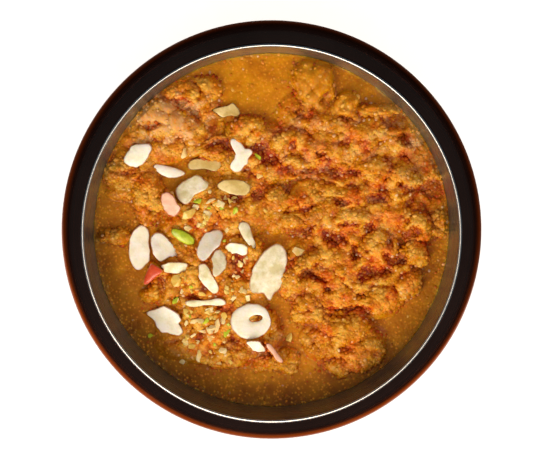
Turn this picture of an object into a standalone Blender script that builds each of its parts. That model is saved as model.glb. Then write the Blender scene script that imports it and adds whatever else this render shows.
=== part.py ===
"""Sooji halwa in a double-walled serving bowl.

The bowl is two turned sheet-metal walls, a steel inner bowl with a beaded rim and a copper outer
body. The halwa fills it as one crumbly mass with the chopped nuts fused to it, and every larger
piece of nut is a solid of its own, laid on the halwa.

Blender units are metres, +Z is up, and the origin is the middle of the base. Sizes below are in
millimetres, and MM turns them to metres where a mesh is made. +Y is the far side of the bowl.
"""

import math

import bpy
import numpy as np
from mathutils import Euler, Matrix, Vector

MM = 0.001
GAP = 0.3  # left between touching pieces
SEGMENTS = 56  # round the bowl

# The bowl
HEIGHT = 60.0
BEAD_CENTRE = 62.4
BEAD_RADIUS = 0.55
BEAD_STEPS = 7
BEAD_START = 205  # degrees, where the curl leaves the inside of the wall
BEAD_SWEEP = 285

LINER_MOUTH = 61.95  # inner radius at the rim
LINER_DEPTH = 52.5
LINER_TAPER = 0.1  # how fast the wall leans inwards
LINER_WALL = 0.5
LINER_DEPTHS = (51.4, 48.4, 43.4, 36.0, 26.0, 14.0, 7.0, 1.5)  # of its corners under the rim
LINER_ROUNDS = (2.6, 2.2)  # superellipse powers, down and across

SHELL_MOUTH = 62.6
SHELL_TOP = 58.55
SHELL_BELLY = 70.8
SHELL_BELLY_DROP = 14.0
SHELL_FOOT = 33.0
SHELL_WALL = 0.7
SHOULDER_STEPS = 6
FLANK_STEPS = 8
SHOULDER_ROUNDS = (2.2, 2.2)
FLANK_ROUNDS = (2.0, 2.4)

# The halwa
LEVEL = 46.0  # height of the smooth halwa at the wall
CROWN = 0.9  # how much higher its middle is
SIDE_GAP = 0.4  # between the halwa and the steel wall
HALWA_RINGS = 28
LEVEL_CORNER = 6  # the corner of the steel wall at that height, counted from the floor
SIDE_CORNERS = (60, 60, 60, 30, 24)  # of the mass at each corner of the wall under that one
LUMPS = ((9.5, 1.6, 31), (4.2, 2.0, 5))  # size, rise and salt of the round lumps in a clump
LUMP_SINK = 0.6  # share of that rise by which the cracks lie under the clump's own dome
LATTICE_TURN = 11.0  # degrees by which each size of lump lies turned, times its salt
LATTICE_SWAY = 0.3  # how far the lumps stray from their lattice, as a share of their size
SWAY = 1.7  # how far a clump's outline wanders
SWAY_SIZE = 6.0
SWELL = 0.5  # slow rise and fall of the smooth halwa
SWELL_SIZE = 13.0
CLUMP_POWER = 2.4  # superellipse power of a clump seen from above
CLUMP_SHOULDER = 0.7  # below 1 a clump is flat on top, above 1 it is peaked
HOLLOW_SIZE = 1.2  # how far the flat floor of a hollow reaches
HOLLOW_SHOULDER = 1.2  # the higher, the softer its edge
EDGE_RISE = 0.6  # most that the halwa stands up at the wall

# Every clump that stands proud of the smooth halwa: middle x, y, length, width, turn and rise.
CLUMPS = (
    # the broad crumbly heaps that the clumps stand on
    (26.0, 29.0, 54.0, 32.0, -14, 2.8),
    (24.0, 7.0, 60.0, 20.0, 0, 2.8),
    (26.0, -14.0, 46.0, 32.0, -4, 3.0),
    (25.0, -37.0, 30.0, 20.0, -6, 2.4),
    (-4.0, 26.0, 30.0, 24.0, 0, 2.2),
    (-18.0, 8.0, 40.0, 22.0, 10, 2.0),
    (-20.0, -16.0, 42.0, 34.0, 0, 2.0),
    (-17.0, -36.0, 44.0, 20.0, 0, 1.8),
    (-34.0, 36.0, 36.0, 26.0, 10, 2.2),
    (-47.0, 20.0, 20.0, 18.0, 0, 1.8),
    (53.0, 21.0, 13.0, 42.0, 14, 1.5),
    # the slab at the far left and the lumps round it
    (-35.4, 37.6, 24.5, 14.0, -8, 4.6),
    (-25.4, 47.0, 16.0, 10.5, 10, 3.6),
    (-34.0, 47.0, 7.0, 5.0, 40, 2.6),
    (-53.5, 20.0, 10.0, 8.5, 0, 3.0),
    (-54.5, 25.5, 5.5, 4.0, 0, 2.6),
    (-46.0, 19.0, 7.0, 5.5, 0, 2.4),
    (-41.0, 11.0, 11.5, 16.0, 10, 3.6),
    (-53.0, -2.0, 11.5, 6.0, -12, 3.0),
    (-8.0, 33.5, 11.5, 11.5, 0, 3.4),
    (-19.5, 28.0, 15.5, 8.5, 5, 3.2),
    # the smooth slab and the folded ledge at the far side
    (14.5, 49.0, 13.5, 18.0, 12, 4.2),
    (25.5, 42.5, 9.5, 12.0, -20, 4.8),
    (34.5, 42.0, 15.0, 4.5, 0, 3.4),
    # the crumbled mass on the right
    (16.5, 36.5, 11.5, 8.0, -10, 4.2),
    (7.0, 30.0, 15.5, 10.5, 5, 4.0),
    (17.5, 27.0, 17.0, 8.5, -8, 4.4),
    (10.0, 21.5, 13.5, 8.0, 0, 3.8),
    (30.0, 33.5, 11.5, 9.5, 0, 4.2),
    (41.0, 32.0, 11.5, 10.0, -30, 4.0),
    (34.0, 21.0, 15.0, 11.0, 0, 4.6),
    (44.5, 17.0, 14.0, 11.5, -25, 5.0),
    (27.0, 11.5, 16.0, 8.0, 5, 3.8),
    (4.5, 10.5, 12.0, 8.0, 0, 3.2),
    (9.5, 5.0, 17.0, 9.5, 0, 4.2),
    (27.0, 4.5, 17.0, 7.5, 0, 4.4),
    (41.5, 6.5, 12.0, 6.5, 0, 3.4),
    (50.0, 1.5, 10.0, 10.0, 0, 4.8),
    (56.5, 3.0, 7.5, 10.0, 0, 3.2),
    (48.0, -8.0, 8.0, 11.0, 0, 4.6),
    (36.5, -5.0, 15.5, 12.0, -10, 4.8),
    (10.5, -12.5, 22.0, 8.5, 52, 4.6),
    (22.5, -14.0, 15.0, 10.0, 0, 3.6),
    (35.0, -23.0, 21.5, 8.0, 6, 5.0),
    (46.0, -19.0, 8.0, 10.0, 0, 4.2),
    (13.0, -26.0, 12.0, 11.5, 0, 3.8),
    (25.0, -33.0, 19.0, 10.5, 0, 4.8),
    (31.0, -41.5, 16.0, 11.5, -8, 4.0),
    (22.5, -45.5, 10.0, 8.0, 0, 2.8),
    # the lower crumbs that carry the nuts on the left
    (-16.5, 7.0, 20.0, 13.5, 0, 2.6),
    (-10.5, -8.5, 13.5, 17.0, 0, 3.0),
    (-25.5, -15.0, 20.0, 13.5, 0, 2.8),
    (-40.0, -20.0, 8.0, 10.0, -30, 2.6),
    (-22.5, -30.5, 23.5, 17.0, 0, 2.8),
    (-4.5, -33.5, 17.0, 15.0, 0, 3.0),
    (-16.5, -42.0, 19.0, 8.5, 0, 2.6),
    (1.0, -44.0, 17.0, 8.0, 0, 2.2),
)

# Every hollow between the clumps: middle x, y, length, width, turn and the share of their height
# that it takes away.
HOLLOWS = (
    (-2.2, 26.3, 10.1, 9.3, 0, 0.90),
    (16.0, 19.5, 30.2, 5.0, -4, 0.95),
    (4.9, 15.5, 7.0, 3.5, 0, 0.60),
    (53.7, 14.5, 22.5, 5.4, 2, 0.95),
    (47.0, 9.4, 7.7, 4.6, 20, 0.80),
    (21.7, -3.0, 9.3, 5.4, -20, 0.95),
    (27.8, -7.1, 5.4, 7.0, 0, 0.85),
    (9.9, 0.3, 9.3, 4.6, 20, 0.85),
    (14.0, -14.8, 10.8, 4.6, 0, 0.90),
    (34.2, -13.8, 15.5, 6.2, 15, 0.95),
    (41.6, -8.8, 7.7, 5.0, 0, 0.90),
    (48.0, -0.3, 7.0, 5.0, 0, 0.80),
    (32.2, 1.7, 5.4, 4.6, 0, 0.70),
    (22.7, 10.8, 8.5, 3.5, 0, 0.60),
    (35.5, 11.8, 7.7, 3.5, 0, 0.60),
    (-4.2, 11.1, 7.7, 5.0, 15, 0.80),
    (38.9, 37.4, 7.0, 3.5, -20, 0.60),
    (44.6, 31.6, 6.2, 5.4, 0, 0.75),
    (25.4, -25.6, 17.8, 2.7, 0, 0.90),
    (18.7, 43.8, 5.4, 3.9, 0, 0.60),
    (37.2, -32.7, 6.2, 7.7, 10, 0.80),
    (3.5, -28.6, 7.0, 10.8, 0, 0.85),
    (-6.2, 41.7, 7.0, 7.7, 0, 0.70),
    (3.2, 45.8, 7.0, 3.5, 0, 0.60),
    (9.9, 8.7, 6.2, 3.1, 10, 0.50),
    (16.7, 25.6, 4.6, 3.1, 0, 0.50),
    (25.1, 28.9, 3.9, 4.6, 0, 0.40),
    (6.6, 28.9, 3.9, 5.4, 0, 0.45),
    (23.4, 37.4, 3.9, 3.9, 0, 0.40),
    (9.9, 39.7, 3.5, 4.6, 0, 0.40),
    (40.2, -3.0, 3.9, 3.9, 0, 0.60),
    (25.1, 2.7, 7.0, 3.1, 15, 0.50),
    (20.0, -18.9, 4.6, 3.1, 0, 0.50),
    (30.1, -21.6, 5.4, 2.3, 0, 0.40),
    (13.3, -33.3, 4.6, 3.9, 0, 0.40),
    (25.1, -39.1, 6.2, 3.1, 0, 0.40),
    (-29.5, 44.4, 9.3, 3.5, 0, 0.80),
    (-25.4, 41.7, 4.6, 6.2, 30, 0.80),
    (-22.1, 54.9, 9.3, 5.4, 0, 0.80),
    (-20.0, 36.7, 5.4, 7.0, 0, 0.80),
    (-17.0, 29.3, 12.4, 4.3, 0, 0.85),
    (-32.2, 18.5, 9.3, 5.0, 30, 0.85),
    (-51.3, 5.0, 15.5, 3.1, -5, 0.85),
    (-37.2, 4.7, 9.3, 4.6, 0, 0.85),
    (-11.6, 10.1, 9.3, 3.9, 0, 0.70),
    (-10.9, -11.5, 9.3, 11.6, 0, 0.80),
    (-37.2, -18.5, 4.6, 8.5, 0, 0.85),
    (-22.7, -16.2, 5.4, 7.7, 0, 0.60),
    (-40.6, 35.7, 11.6, 2.3, 0, 0.40),
    (-48.0, 19.5, 7.7, 3.9, 0, 0.50),
    (-9.3, 20.5, 6.2, 3.5, 0, 0.60),
    (-27.1, -21.6, 6.2, 3.5, 0, 0.60),
    (-17.7, -24.9, 3.9, 5.4, 0, 0.60),
    (-33.8, -36.7, 7.7, 3.1, 0, 0.40),
    (-23.7, -36.7, 3.9, 5.4, 0, 0.50),
    (-5.2, -41.8, 7.7, 3.1, 0, 0.50),
    (-13.6, -35.0, 5.4, 3.1, 0, 0.40),
)

# Larger pieces of nut, the lowest first: x, y, length, width, turn, thickness and cup.
NUTS = {
    "almond_big": (-0.9, -13.2, 21.0, 11.6, 76, 1.3, 1.0),
    "almond_tall_left": (-44.4, -5.4, 15.6, 7.2, 86, 1.2, 0.8),
    "almond_pointed": (-35.2, -29.9, 15.7, 8.5, 152, 1.2, 0.8),
    "almond_middle_lower": (-21.3, -15.5, 11.3, 4.5, 116, 1.1, 0.5),
    "almond_ring": (-7.0, -30.0, 13.8, 11.8, 10, 1.5, 0.0),
    "almond_ring_tail": (-5.1, -37.9, 7.9, 3.7, 155, 1.2, 0.3),
    "cashew_curve": (-26.8, 14.4, 11.5, 7.0, 38, 1.5, 0.6),
    "pink_flake": (-33.7, 9.6, 8.8, 5.3, 119, 1.0, 0.3),
    "almond_chunk_left": (-44.7, 26.0, 10.5, 7.2, 33, 2.2, 0.0),
    "almond_boat": (-34.5, 20.4, 12.2, 3.7, 167, 1.6, 0.0),
    "tan_slice_left": (-22.3, 22.5, 11.7, 4.4, 2, 1.2, 0.4),
    "curl_top": (-10.6, 25.6, 11.4, 7.6, 91, 1.6, 0.5),
    "tan_slice_right": (-12.3, 15.2, 11.8, 5.1, -6, 1.2, 0.3),
    "yellow_chip_top": (-14.7, 40.5, 9.7, 5.0, 12, 1.2, 0.3),
    "pistachio_wedge": (-29.6, -1.3, 9.4, 3.7, 149, 1.6, 0.0),
    "almond_second_left": (-36.7, -5.2, 11.2, 7.3, 128, 1.1, 0.5),
    "almond_flat_left": (-32.5, -11.7, 9.1, 4.0, 0, 1.0, 0.2),
    "almond_middle_side": (-17.9, -10.2, 9.9, 5.0, 83, 1.0, 0.3),
    "almond_middle_upper": (-20.8, -4.1, 11.9, 6.3, 56, 1.1, 0.6),
    "cream_sliver": (-8.2, -0.7, 10.5, 3.5, 116, 1.3, 0.0),
    "pale_chip": (-11.5, -5.4, 7.7, 4.1, 171, 1.0, 0.2),
    "red_sliver": (-39.8, -13.8, 8.7, 4.6, 49, 1.2, 0.0),
    "long_sliver": (-22.3, -23.7, 15.1, 3.2, 1, 1.1, 0.0),
    "pink_sliver": (0.8, -40.5, 10.0, 1.9, 127, 1.1, 0.0),
}
# The corners of each one's broken outline, seen from above, from its middle.
OUTLINES = {
    "almond_big": (
        (0.4, 8.5), (-2.0, 6.5), (-4.0, 4.1), (-5.4, 1.7), (-6.8, -1.7), (-7.0, -4.8), (-6.2, -6.9),
        (-3.3, -7.2), (-1.0, -7.5), (-0.6, -10.2), (0.4, -11.2), (1.3, -7.4), (3.2, -6.7), (5.1, -2.0),
        (6.1, 4.1), (5.3, 7.2), (2.8, 9.8),
    ),
    "almond_tall_left": (
        (-1.8, 6.1), (-3.1, 3.7), (-3.5, 1.0), (-3.5, -2.3), (-2.8, -5.4), (-1.5, -7.4), (0.2, -7.8),
        (1.5, -6.1), (3.2, -4.4), (3.6, -1.0), (2.9, 2.0), (3.3, 4.7), (2.3, 7.4), (0.6, 7.8),
    ),
    "almond_pointed": (
        (-4.4, 0.4), (-3.4, -2.3), (-1.7, -4.0), (0.9, -4.3), (4.7, -5.3), (5.7, -3.6), (3.7, -0.9),
        (5.7, 0.1), (4.0, 2.5), (1.7, 3.8), (-0.4, 4.9), (-4.1, 3.5), (-8.8, 2.5),
    ),
    "almond_middle_lower": (
        (-3.1, 0.6), (-1.8, -1.4), (-0.1, -3.4), (1.6, -5.1), (3.3, -4.8), (3.6, -3.1), (2.6, -0.7),
        (1.3, 1.3), (0.3, 3.7), (-1.1, 5.4), (-3.1, 4.7),
    ),
    "almond_ring_tail": (
        (-2.5, 0.3), (-1.1, -1.4), (0.9, -2.1), (3.2, -2.1), (2.9, -0.8), (1.6, 0.6), (1.2, 1.6),
        (-0.8, 2.0), (-3.8, 1.6),
    ),
    "cashew_curve": (
        (-4.5, -3.6), (-2.9, -4.6), (-0.9, -5.3), (0.2, -3.6), (1.2, -1.9), (3.2, -0.9), (5.5, 0.1),
        (5.9, 1.8), (4.2, 3.4), (1.9, 4.8), (-0.5, 3.4), (-2.8, 2.1), (-5.2, -0.2),
    ),
    "pink_flake": (
        (-3.0, 1.2), (-2.3, -1.2), (-0.7, -3.5), (1.3, -4.2), (3.0, -2.5), (3.4, -0.5), (2.0, 0.9),
        (1.0, 3.2), (-1.0, 4.2), (-3.0, 3.5),
    ),
    "almond_chunk_left": (
        (-3.3, 0.9), (-4.6, -1.1), (-4.3, -2.8), (-3.0, -3.8), (-0.3, -4.1), (1.7, -3.1), (3.1, -1.5),
        (4.1, 0.6), (4.8, 2.2), (3.8, 3.9), (1.1, 3.9), (-2.3, 2.9),
    ),
    "almond_boat": (
        (-4.5, 0.5), (-2.5, -1.2), (-0.1, -2.2), (2.5, -2.2), (4.9, -1.5), (6.2, -0.5), (4.2, 0.1),
        (2.2, 1.1), (-1.1, 1.8), (-4.1, 2.5), (-5.8, 1.8),
    ),
    "tan_slice_left": (
        (-5.3, -1.6), (-3.0, -1.6), (-0.6, -1.3), (1.1, -1.6), (3.4, -2.3), (5.4, -0.6), (5.7, 1.0),
        (3.7, 1.7), (1.1, 1.7), (-1.6, 2.0), (-4.3, 1.7), (-6.0, 0.0),
    ),
    "curl_top": (
        (-2.3, 2.7), (-1.3, 1.0), (-1.9, -1.1), (-3.3, -2.7), (-2.9, -4.4), (-1.3, -5.4), (0.4, -5.1),
        (1.1, -3.4), (2.4, -2.7), (2.7, -0.7), (4.1, 1.0), (3.8, 2.6), (1.7, 2.3), (0.1, 4.6),
        (-1.9, 6.0), (-3.6, 5.0),
    ),
    "tan_slice_right": (
        (-4.6, -1.0), (-1.9, -2.1), (1.1, -2.7), (3.8, -2.7), (5.4, -1.0), (5.1, 0.6), (3.1, 2.0),
        (-0.2, 2.6), (-3.6, 2.3), (-6.3, 0.6),
    ),
    "yellow_chip_top": (
        (-3.5, -0.9), (-1.8, -2.3), (-0.1, -1.6), (1.9, -1.3), (3.5, -2.3), (4.2, -0.6), (3.2, 1.4),
        (1.9, 2.7), (-0.1, 1.7), (-2.8, 1.1), (-5.5, 0.4),
    ),
    "pistachio_wedge": (
        (-3.8, 1.3), (-2.8, 0.0), (-0.8, -1.7), (1.6, -2.7), (3.6, -2.7), (3.6, -0.7), (1.9, 1.0),
        (-0.1, 2.0), (-2.4, 2.7), (-4.1, 2.7),
    ),
    "almond_second_left": (
        (-3.8, 1.2), (-3.5, -1.5), (-2.1, -3.9), (-0.8, -4.9), (0.9, -3.9), (2.6, -2.9), (4.6, -3.6),
        (5.3, -2.2), (3.9, 0.2), (2.6, 1.5), (1.3, 3.2), (-0.7, 4.9), (-2.7, 4.9), (-3.8, 3.5),
    ),
    "almond_flat_left": (
        (-3.3, -1.5), (-1.0, -1.8), (1.7, -2.1), (4.1, -0.8), (4.4, 1.2), (1.1, 1.9), (-2.3, 1.9),
        (-4.7, 0.6),
    ),
    "almond_middle_side": (
        (-2.4, 1.1), (-1.8, -1.6), (-2.1, -4.0), (-0.8, -5.0), (0.9, -3.6), (2.3, -1.9), (2.6, 0.4),
        (1.9, 3.1), (0.6, 4.8), (-1.4, 3.8),
    ),
    "almond_middle_upper": (
        (-3.2, 0.7), (-4.2, -2.3), (-3.6, -5.0), (-1.9, -6.0), (-0.2, -4.3), (1.1, -2.6), (3.2, -0.9),
        (4.2, 1.4), (4.9, 3.4), (3.2, 4.8), (0.8, 4.5), (-1.2, 3.8),
    ),
    "cream_sliver": (
        (-3.0, 2.7), (-2.4, 1.1), (-1.4, -1.0), (0.0, -3.0), (1.3, -4.3), (2.7, -5.0), (3.0, -3.7),
        (2.0, -1.6), (1.3, 0.7), (0.7, 2.7), (-0.4, 4.1), (-2.0, 4.4),
    ),
    "pale_chip": (
        (-3.4, -0.7), (-2.1, -1.7), (-0.1, -1.3), (1.9, -2.3), (3.3, -2.0), (3.6, 0.4), (2.3, 1.7),
        (-0.1, 2.0), (-2.4, 2.0), (-4.1, 0.7),
    ),
    "red_sliver": (
        (-1.7, 0.6), (-2.8, -2.1), (-3.1, -4.1), (-1.8, -3.8), (0.3, -1.7), (2.3, 0.0), (4.0, 1.3),
        (1.6, 2.7), (-0.4, 3.3),
    ),
    "long_sliver": (
        (-6.5, -1.0), (-3.5, -1.7), (-0.8, -0.8), (2.6, -0.8), (5.6, -1.2), (7.6, -1.0), (6.3, 1.0),
        (4.6, 1.7), (2.3, 1.0), (-1.1, 0.7), (-4.5, 0.7), (-7.5, 0.7),
    ),
    "pink_sliver": (
        (-2.0, 1.5), (-0.6, -0.2), (0.7, -2.6), (2.4, -3.6), (3.4, -3.6), (1.7, -1.2), (0.1, 1.2),
        (-1.6, 3.5), (-3.3, 3.9),
    ),
}
RING_SIDES = 16
NUT_SAMPLE_RINGS = (0.35, 0.7, 1.0)
NUT_SAMPLE_SPOKES = 16
NUT_SLOPES = (-0.36, -0.27, -0.18, -0.09, 0.0, 0.09, 0.18, 0.27, 0.36)  # tilts a nut may take
NUT_PRESS = 0.7  # share of the halwa under a nut that it has pressed down
NUT_WAVE = 0.12  # how far a slice's faces wave
NUT_MIDDLE = 0.62  # where a slice's inner ring of corners lies, between its middle and its edge
NUT_EDGE = 0.6  # a slice's thickness at its edge, as a share
BED_MARGIN = 2.3  # how far the pressed bed reaches past the nut
HEAP_MARGIN = -0.8  # and the halwa heaped up under it, which stays inside
RING_HOLE = (0.34, 0.20)  # half sizes of the ring's hole, as shares of the ring's
RING_HOLE_PLACE = (0.28, 0.12)
RING_SECTION = ((1.0, 0.15), (0.72, 0.0), (0.0, 0.15), (0.0, 0.85), (0.6, 1.0), (1.0, 0.7))

# Chopped nuts too small for a node, fused to the halwa: x, y, length, width, turn.
CHOPS = (
    (-29.5, 26.5, 3.0, 4.0, 0),
    (-15.5, 24.5, 4.5, 2.5, 20),
    (-4.5, 25.5, 4.5, 3.0, -10),
    (-27.5, 6.5, 5.5, 4.0, 10),
    (-29.5, -7.5, 4.5, 3.5, 0),
    (9.0, -6.5, 4.5, 4.0, 20),
    (-32.0, -16.5, 4.0, 4.5, 0),
    (-41.0, -35.5, 2.0, 2.0, 0),
    (-24.5, -42.0, 4.5, 2.0, 80),
    (-18.0, -44.5, 2.5, 2.5, 0),
    (-14.0, -44.0, 2.5, 2.0, 0),
    (-15.0, -34.0, 4.0, 2.5, 80),
    (6.0, -36.0, 3.5, 3.5, 0),
    (-9.5, -20.0, 3.5, 2.0, 0),
    (-26.0, -26.0, 3.5, 2.5, 20),
    (-21.0, -26.5, 3.5, 2.5, 10),
    (-25.0, -30.0, 5.5, 2.0, 10),
    (-23.5, -33.5, 4.5, 2.5, -10),
    (-18.5, -31.5, 6.0, 2.5, 70),
    (-13.5, -22.5, 4.0, 3.0, 10),
    (-20.0, 10.5, 5.0, 2.0, 20),
    (-21.5, 6.0, 4.0, 3.5, 0),
    (-4.0, 19.0, 2.5, 2.5, 0),
    (-2.0, 7.5, 2.0, 2.0, 0),
    (-30.0, -44.5, 3.0, 2.0, 0),
    (-23.5, 2.0, 2.5, 2.0, 0),
)
CHOP_JITTER = (0.85, 1.15)  # how far each corner of a chopped piece strays, as a share
CHOP_HEIGHT = 0.8  # as a share of its lesser size
CHOP_LIFT = 0.12  # how high its middle stands over the halwa, as a share of its height
CHOP_TIP = 0.3  # how far it may lean, in radians
CRUMBS = 26  # still smaller crumbs, strewn by a seeded draw
CRUMB_SEED = 7
CRUMB_SIZES = (1.4, 2.4)
CRUMB_FIELD = (-21.0, -13.0, 15.0, 30.0)  # middle x, y and half sizes of the strewn patch


def clear_scene():
    for thing in list(bpy.data.objects):
        bpy.data.objects.remove(thing)


def make_material(name, colour, roughness, metallic=0.0):
    made = bpy.data.materials.new(name)
    made.use_nodes = True
    shader = made.node_tree.nodes["Principled BSDF"]
    shader.inputs["Base Color"].default_value = (*colour, 1.0)
    shader.inputs["Roughness"].default_value = roughness
    shader.inputs["Metallic"].default_value = metallic
    made.diffuse_color = (*colour, 1.0)
    return made


def make_object(name, points, faces, material, edges=()):
    """An object from points in millimetres, in its own frame."""
    mesh = bpy.data.meshes.new(name)
    mesh.from_pydata([Vector(point) * MM for point in points], edges, faces)
    mesh.materials.append(material)
    made = bpy.data.objects.new(name, mesh)
    bpy.context.scene.collection.objects.link(made)
    return made


# ---------------------------------------------------------------- the bowl


def rounded_corner(steps, powers):
    """Shares (down, across) along a quarter superellipse, from its top to its outermost point."""
    for step in range(steps + 1):
        angle = math.pi / 2 * step / steps
        down = 1 - math.cos(angle) ** (2 / powers[0])
        across = math.sin(angle) ** (2 / powers[1])
        yield down, across


def offset(profile, distance):
    """The profile moved square to itself: to its right as it runs, where distance is positive."""
    moved = []
    for index, (r, z) in enumerate(profile):
        before = profile[max(index - 1, 0)]
        after = profile[min(index + 1, len(profile) - 1)]
        dr, dz = after[0] - before[0], after[1] - before[1]
        length = math.hypot(dr, dz)
        moved.append((r + distance * dz / length, z - distance * dr / length))
    return moved


def liner_radius(depth):
    """Inner radius of the steel bowl this far under the rim."""
    down, across = LINER_ROUNDS
    roundness = (1 - (depth / LINER_DEPTH) ** down) ** (1 / across)
    return (LINER_MOUTH - LINER_TAPER * depth) * roundness


def liner_inside():
    """Corners of the inside of the steel wall, from the middle of its floor up to the bead."""
    corners = [(liner_radius(depth), HEIGHT - depth) for depth in LINER_DEPTHS]
    return [(0.0, HEIGHT - LINER_DEPTH)] + corners


def liner_profile():
    """From the middle of the floor, up the inside, over the bead and down the outside."""
    inside = liner_inside()
    outside = offset(inside, LINER_WALL)
    outside[0] = (0.0, inside[0][1] - LINER_WALL)
    bead = []
    for step in range(BEAD_STEPS + 1):
        angle = math.radians(BEAD_START - BEAD_SWEEP * step / BEAD_STEPS)
        r = BEAD_CENTRE + BEAD_RADIUS * math.cos(angle)
        z = HEIGHT - BEAD_RADIUS + BEAD_RADIUS * math.sin(angle)
        bead.append((r, z))
    return inside + bead + outside[::-1]


def shell_profile():
    """From the middle of the floor, up the inside to the mouth, and down the outside."""
    outside = []
    for down, across in rounded_corner(SHOULDER_STEPS, SHOULDER_ROUNDS):
        r = SHELL_MOUTH + (SHELL_BELLY - SHELL_MOUTH) * across
        outside.append((r, SHELL_TOP - SHELL_BELLY_DROP * down))
    belly = SHELL_TOP - SHELL_BELLY_DROP
    for down, across in list(rounded_corner(FLANK_STEPS, FLANK_ROUNDS))[-2::-1]:
        r = SHELL_FOOT + (SHELL_BELLY - SHELL_FOOT) * across
        outside.append((r, belly * down))
    inside = offset(outside, SHELL_WALL)
    inside[0] = (SHELL_MOUTH, SHELL_TOP - SHELL_WALL)
    inside[-1] = (SHELL_FOOT, SHELL_WALL)
    inside = inside[::2]  # nobody sees it, so half the corners do
    return [(0.0, SHELL_WALL)] + inside[::-1] + outside + [(0.0, 0.0)]


def turn_bowl_wall(name, profile, material):
    points = [(r, 0.0, z) for r, z in profile]
    edges = [(index, index + 1) for index in range(len(points) - 1)]
    wall = make_object(name, points, [], material, edges)
    screw = wall.modifiers.new("Turn", "SCREW")
    screw.axis = "Z"
    screw.steps = SEGMENTS
    screw.render_steps = SEGMENTS
    screw.use_merge_vertices = True
    screw.merge_threshold = 0.00001
    screw.use_smooth_shade = True
    return wall


# ---------------------------------------------------------------- the halwa's surface


def cell_value(column, row, salt):
    """A fixed number from 0 to 1 for each cell of a lattice."""
    wave = np.sin(column * 127.1 + row * 311.7 + salt * 74.7) * 43758.5453
    return wave - np.floor(wave)


def sway(x, y, size, salt):
    """Smooth noise from -1 to 1 that changes over this many millimetres."""
    column, row = np.floor(x / size), np.floor(y / size)
    across, along = x / size - column, y / size - row
    across = across * across * (3 - 2 * across)
    along = along * along * (3 - 2 * along)
    near = cell_value(column, row, salt) * (1 - across)
    near += cell_value(column + 1, row, salt) * across
    far = cell_value(column, row + 1, salt) * (1 - across)
    far += cell_value(column + 1, row + 1, salt) * across
    return 2 * (near * (1 - along) + far * along) - 1


def turned(x, y, angle):
    """Coordinates along and across a thing that lies turned by this many degrees."""
    cos, sin = math.cos(math.radians(angle)), math.sin(math.radians(angle))
    return x * cos + y * sin, y * cos - x * sin


def crags(x, y, size, salt):
    """Close-packed round lumps, 0 in the cracks between them and 1 on their tops."""
    x, y = turned(x, y, LATTICE_TURN * salt)
    stray_x = LATTICE_SWAY * size * sway(x, y, size, salt + 2)
    stray_y = LATTICE_SWAY * size * sway(x, y, size, salt + 3)
    x, y = x + stray_x, y + stray_y
    column, row = np.floor(x / size), np.floor(y / size)
    nearest = np.full(np.shape(x), 9.0)
    for i in (-1, 0, 1):
        for j in (-1, 0, 1):
            lump_x = column + i + 0.15 + 0.7 * cell_value(column + i, row + j, salt)
            lump_y = row + j + 0.15 + 0.7 * cell_value(column + i, row + j, salt + 1)
            nearest = np.minimum(nearest, np.hypot(x / size - lump_x, y / size - lump_y))
    return np.sqrt(np.clip(1 - (nearest / 0.8) ** 2, 0, 1))


def clump_rise(x, y, clump):
    """Height of one clump's flat-topped dome."""
    middle_x, middle_y, length, width, turn, height = clump
    along, across = turned(x - middle_x, y - middle_y, turn)
    reach = np.abs(2 * along / length) ** CLUMP_POWER + np.abs(2 * across / width) ** CLUMP_POWER
    return height * np.clip(1 - reach ** (3 / CLUMP_POWER), 0, 1) ** CLUMP_SHOULDER


def hollow_share(x, y, hollow):
    """How much of the clumps' height one hollow takes away."""
    middle_x, middle_y, length, width, turn, share = hollow
    along, across = turned(x - middle_x, y - middle_y, turn)
    reach = (2 * along / length) ** 2 + (2 * across / width) ** 2
    return share * np.clip(HOLLOW_SIZE - reach, 0, 1) ** HOLLOW_SHOULDER


def surface(x, y):
    """Height of the halwa before any nut is pressed into it."""
    ground = LEVEL + CROWN * (1 - (np.hypot(x, y) / LINER_MOUTH) ** 2)
    ground += SWELL * sway(x, y, SWELL_SIZE, 3)
    wandered_x = x + SWAY * sway(x, y, SWAY_SIZE, 1)
    wandered_y = y + SWAY * sway(x, y, SWAY_SIZE, 2)
    rise = np.zeros(np.shape(x))
    for clump in CLUMPS:
        rise = np.maximum(rise, clump_rise(wandered_x, wandered_y, clump))
    crumbly = np.clip(rise / 2, 0, 1)
    taken = np.zeros(np.shape(x))
    for hollow in HOLLOWS:
        taken = np.maximum(taken, hollow_share(wandered_x, wandered_y, hollow))
    rise = rise * (1 - taken)
    for size, height, salt in LUMPS:
        rise = rise + height * crumbly * (crags(x, y, size, salt) - LUMP_SINK)
    return ground + rise


# ---------------------------------------------------------------- the nuts


def plane_height(nut, x, y):
    along, across = turned(x - nut["x"], y - nut["y"], nut["turn"])
    return nut["z"] + nut["slope_along"] * along + nut["slope_across"] * across


def is_over(nut, x, y, margin):
    """Whether each point lies within the nut's oval, widened by the margin."""
    along, across = turned(x - nut["x"], y - nut["y"], nut["turn"])
    half_length, half_width = nut["length"] / 2 + margin, nut["width"] / 2 + margin
    return (along / half_length) ** 2 + (across / half_width) ** 2 < 1


def nut_samples(nut):
    """Points spread over the nut's oval, as coordinates along, across, x and y."""
    shares = [(0.0, 0.0)]
    for ring in NUT_SAMPLE_RINGS:
        for step in range(NUT_SAMPLE_SPOKES):
            angle = 2 * math.pi * step / NUT_SAMPLE_SPOKES
            shares.append((ring * math.cos(angle), ring * math.sin(angle)))
    shares = np.array(shares)
    along, across = shares[:, 0] * nut["length"] / 2, shares[:, 1] * nut["width"] / 2
    x, y = turned(along, across, -nut["turn"])
    return along, across, x + nut["x"], y + nut["y"]


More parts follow.
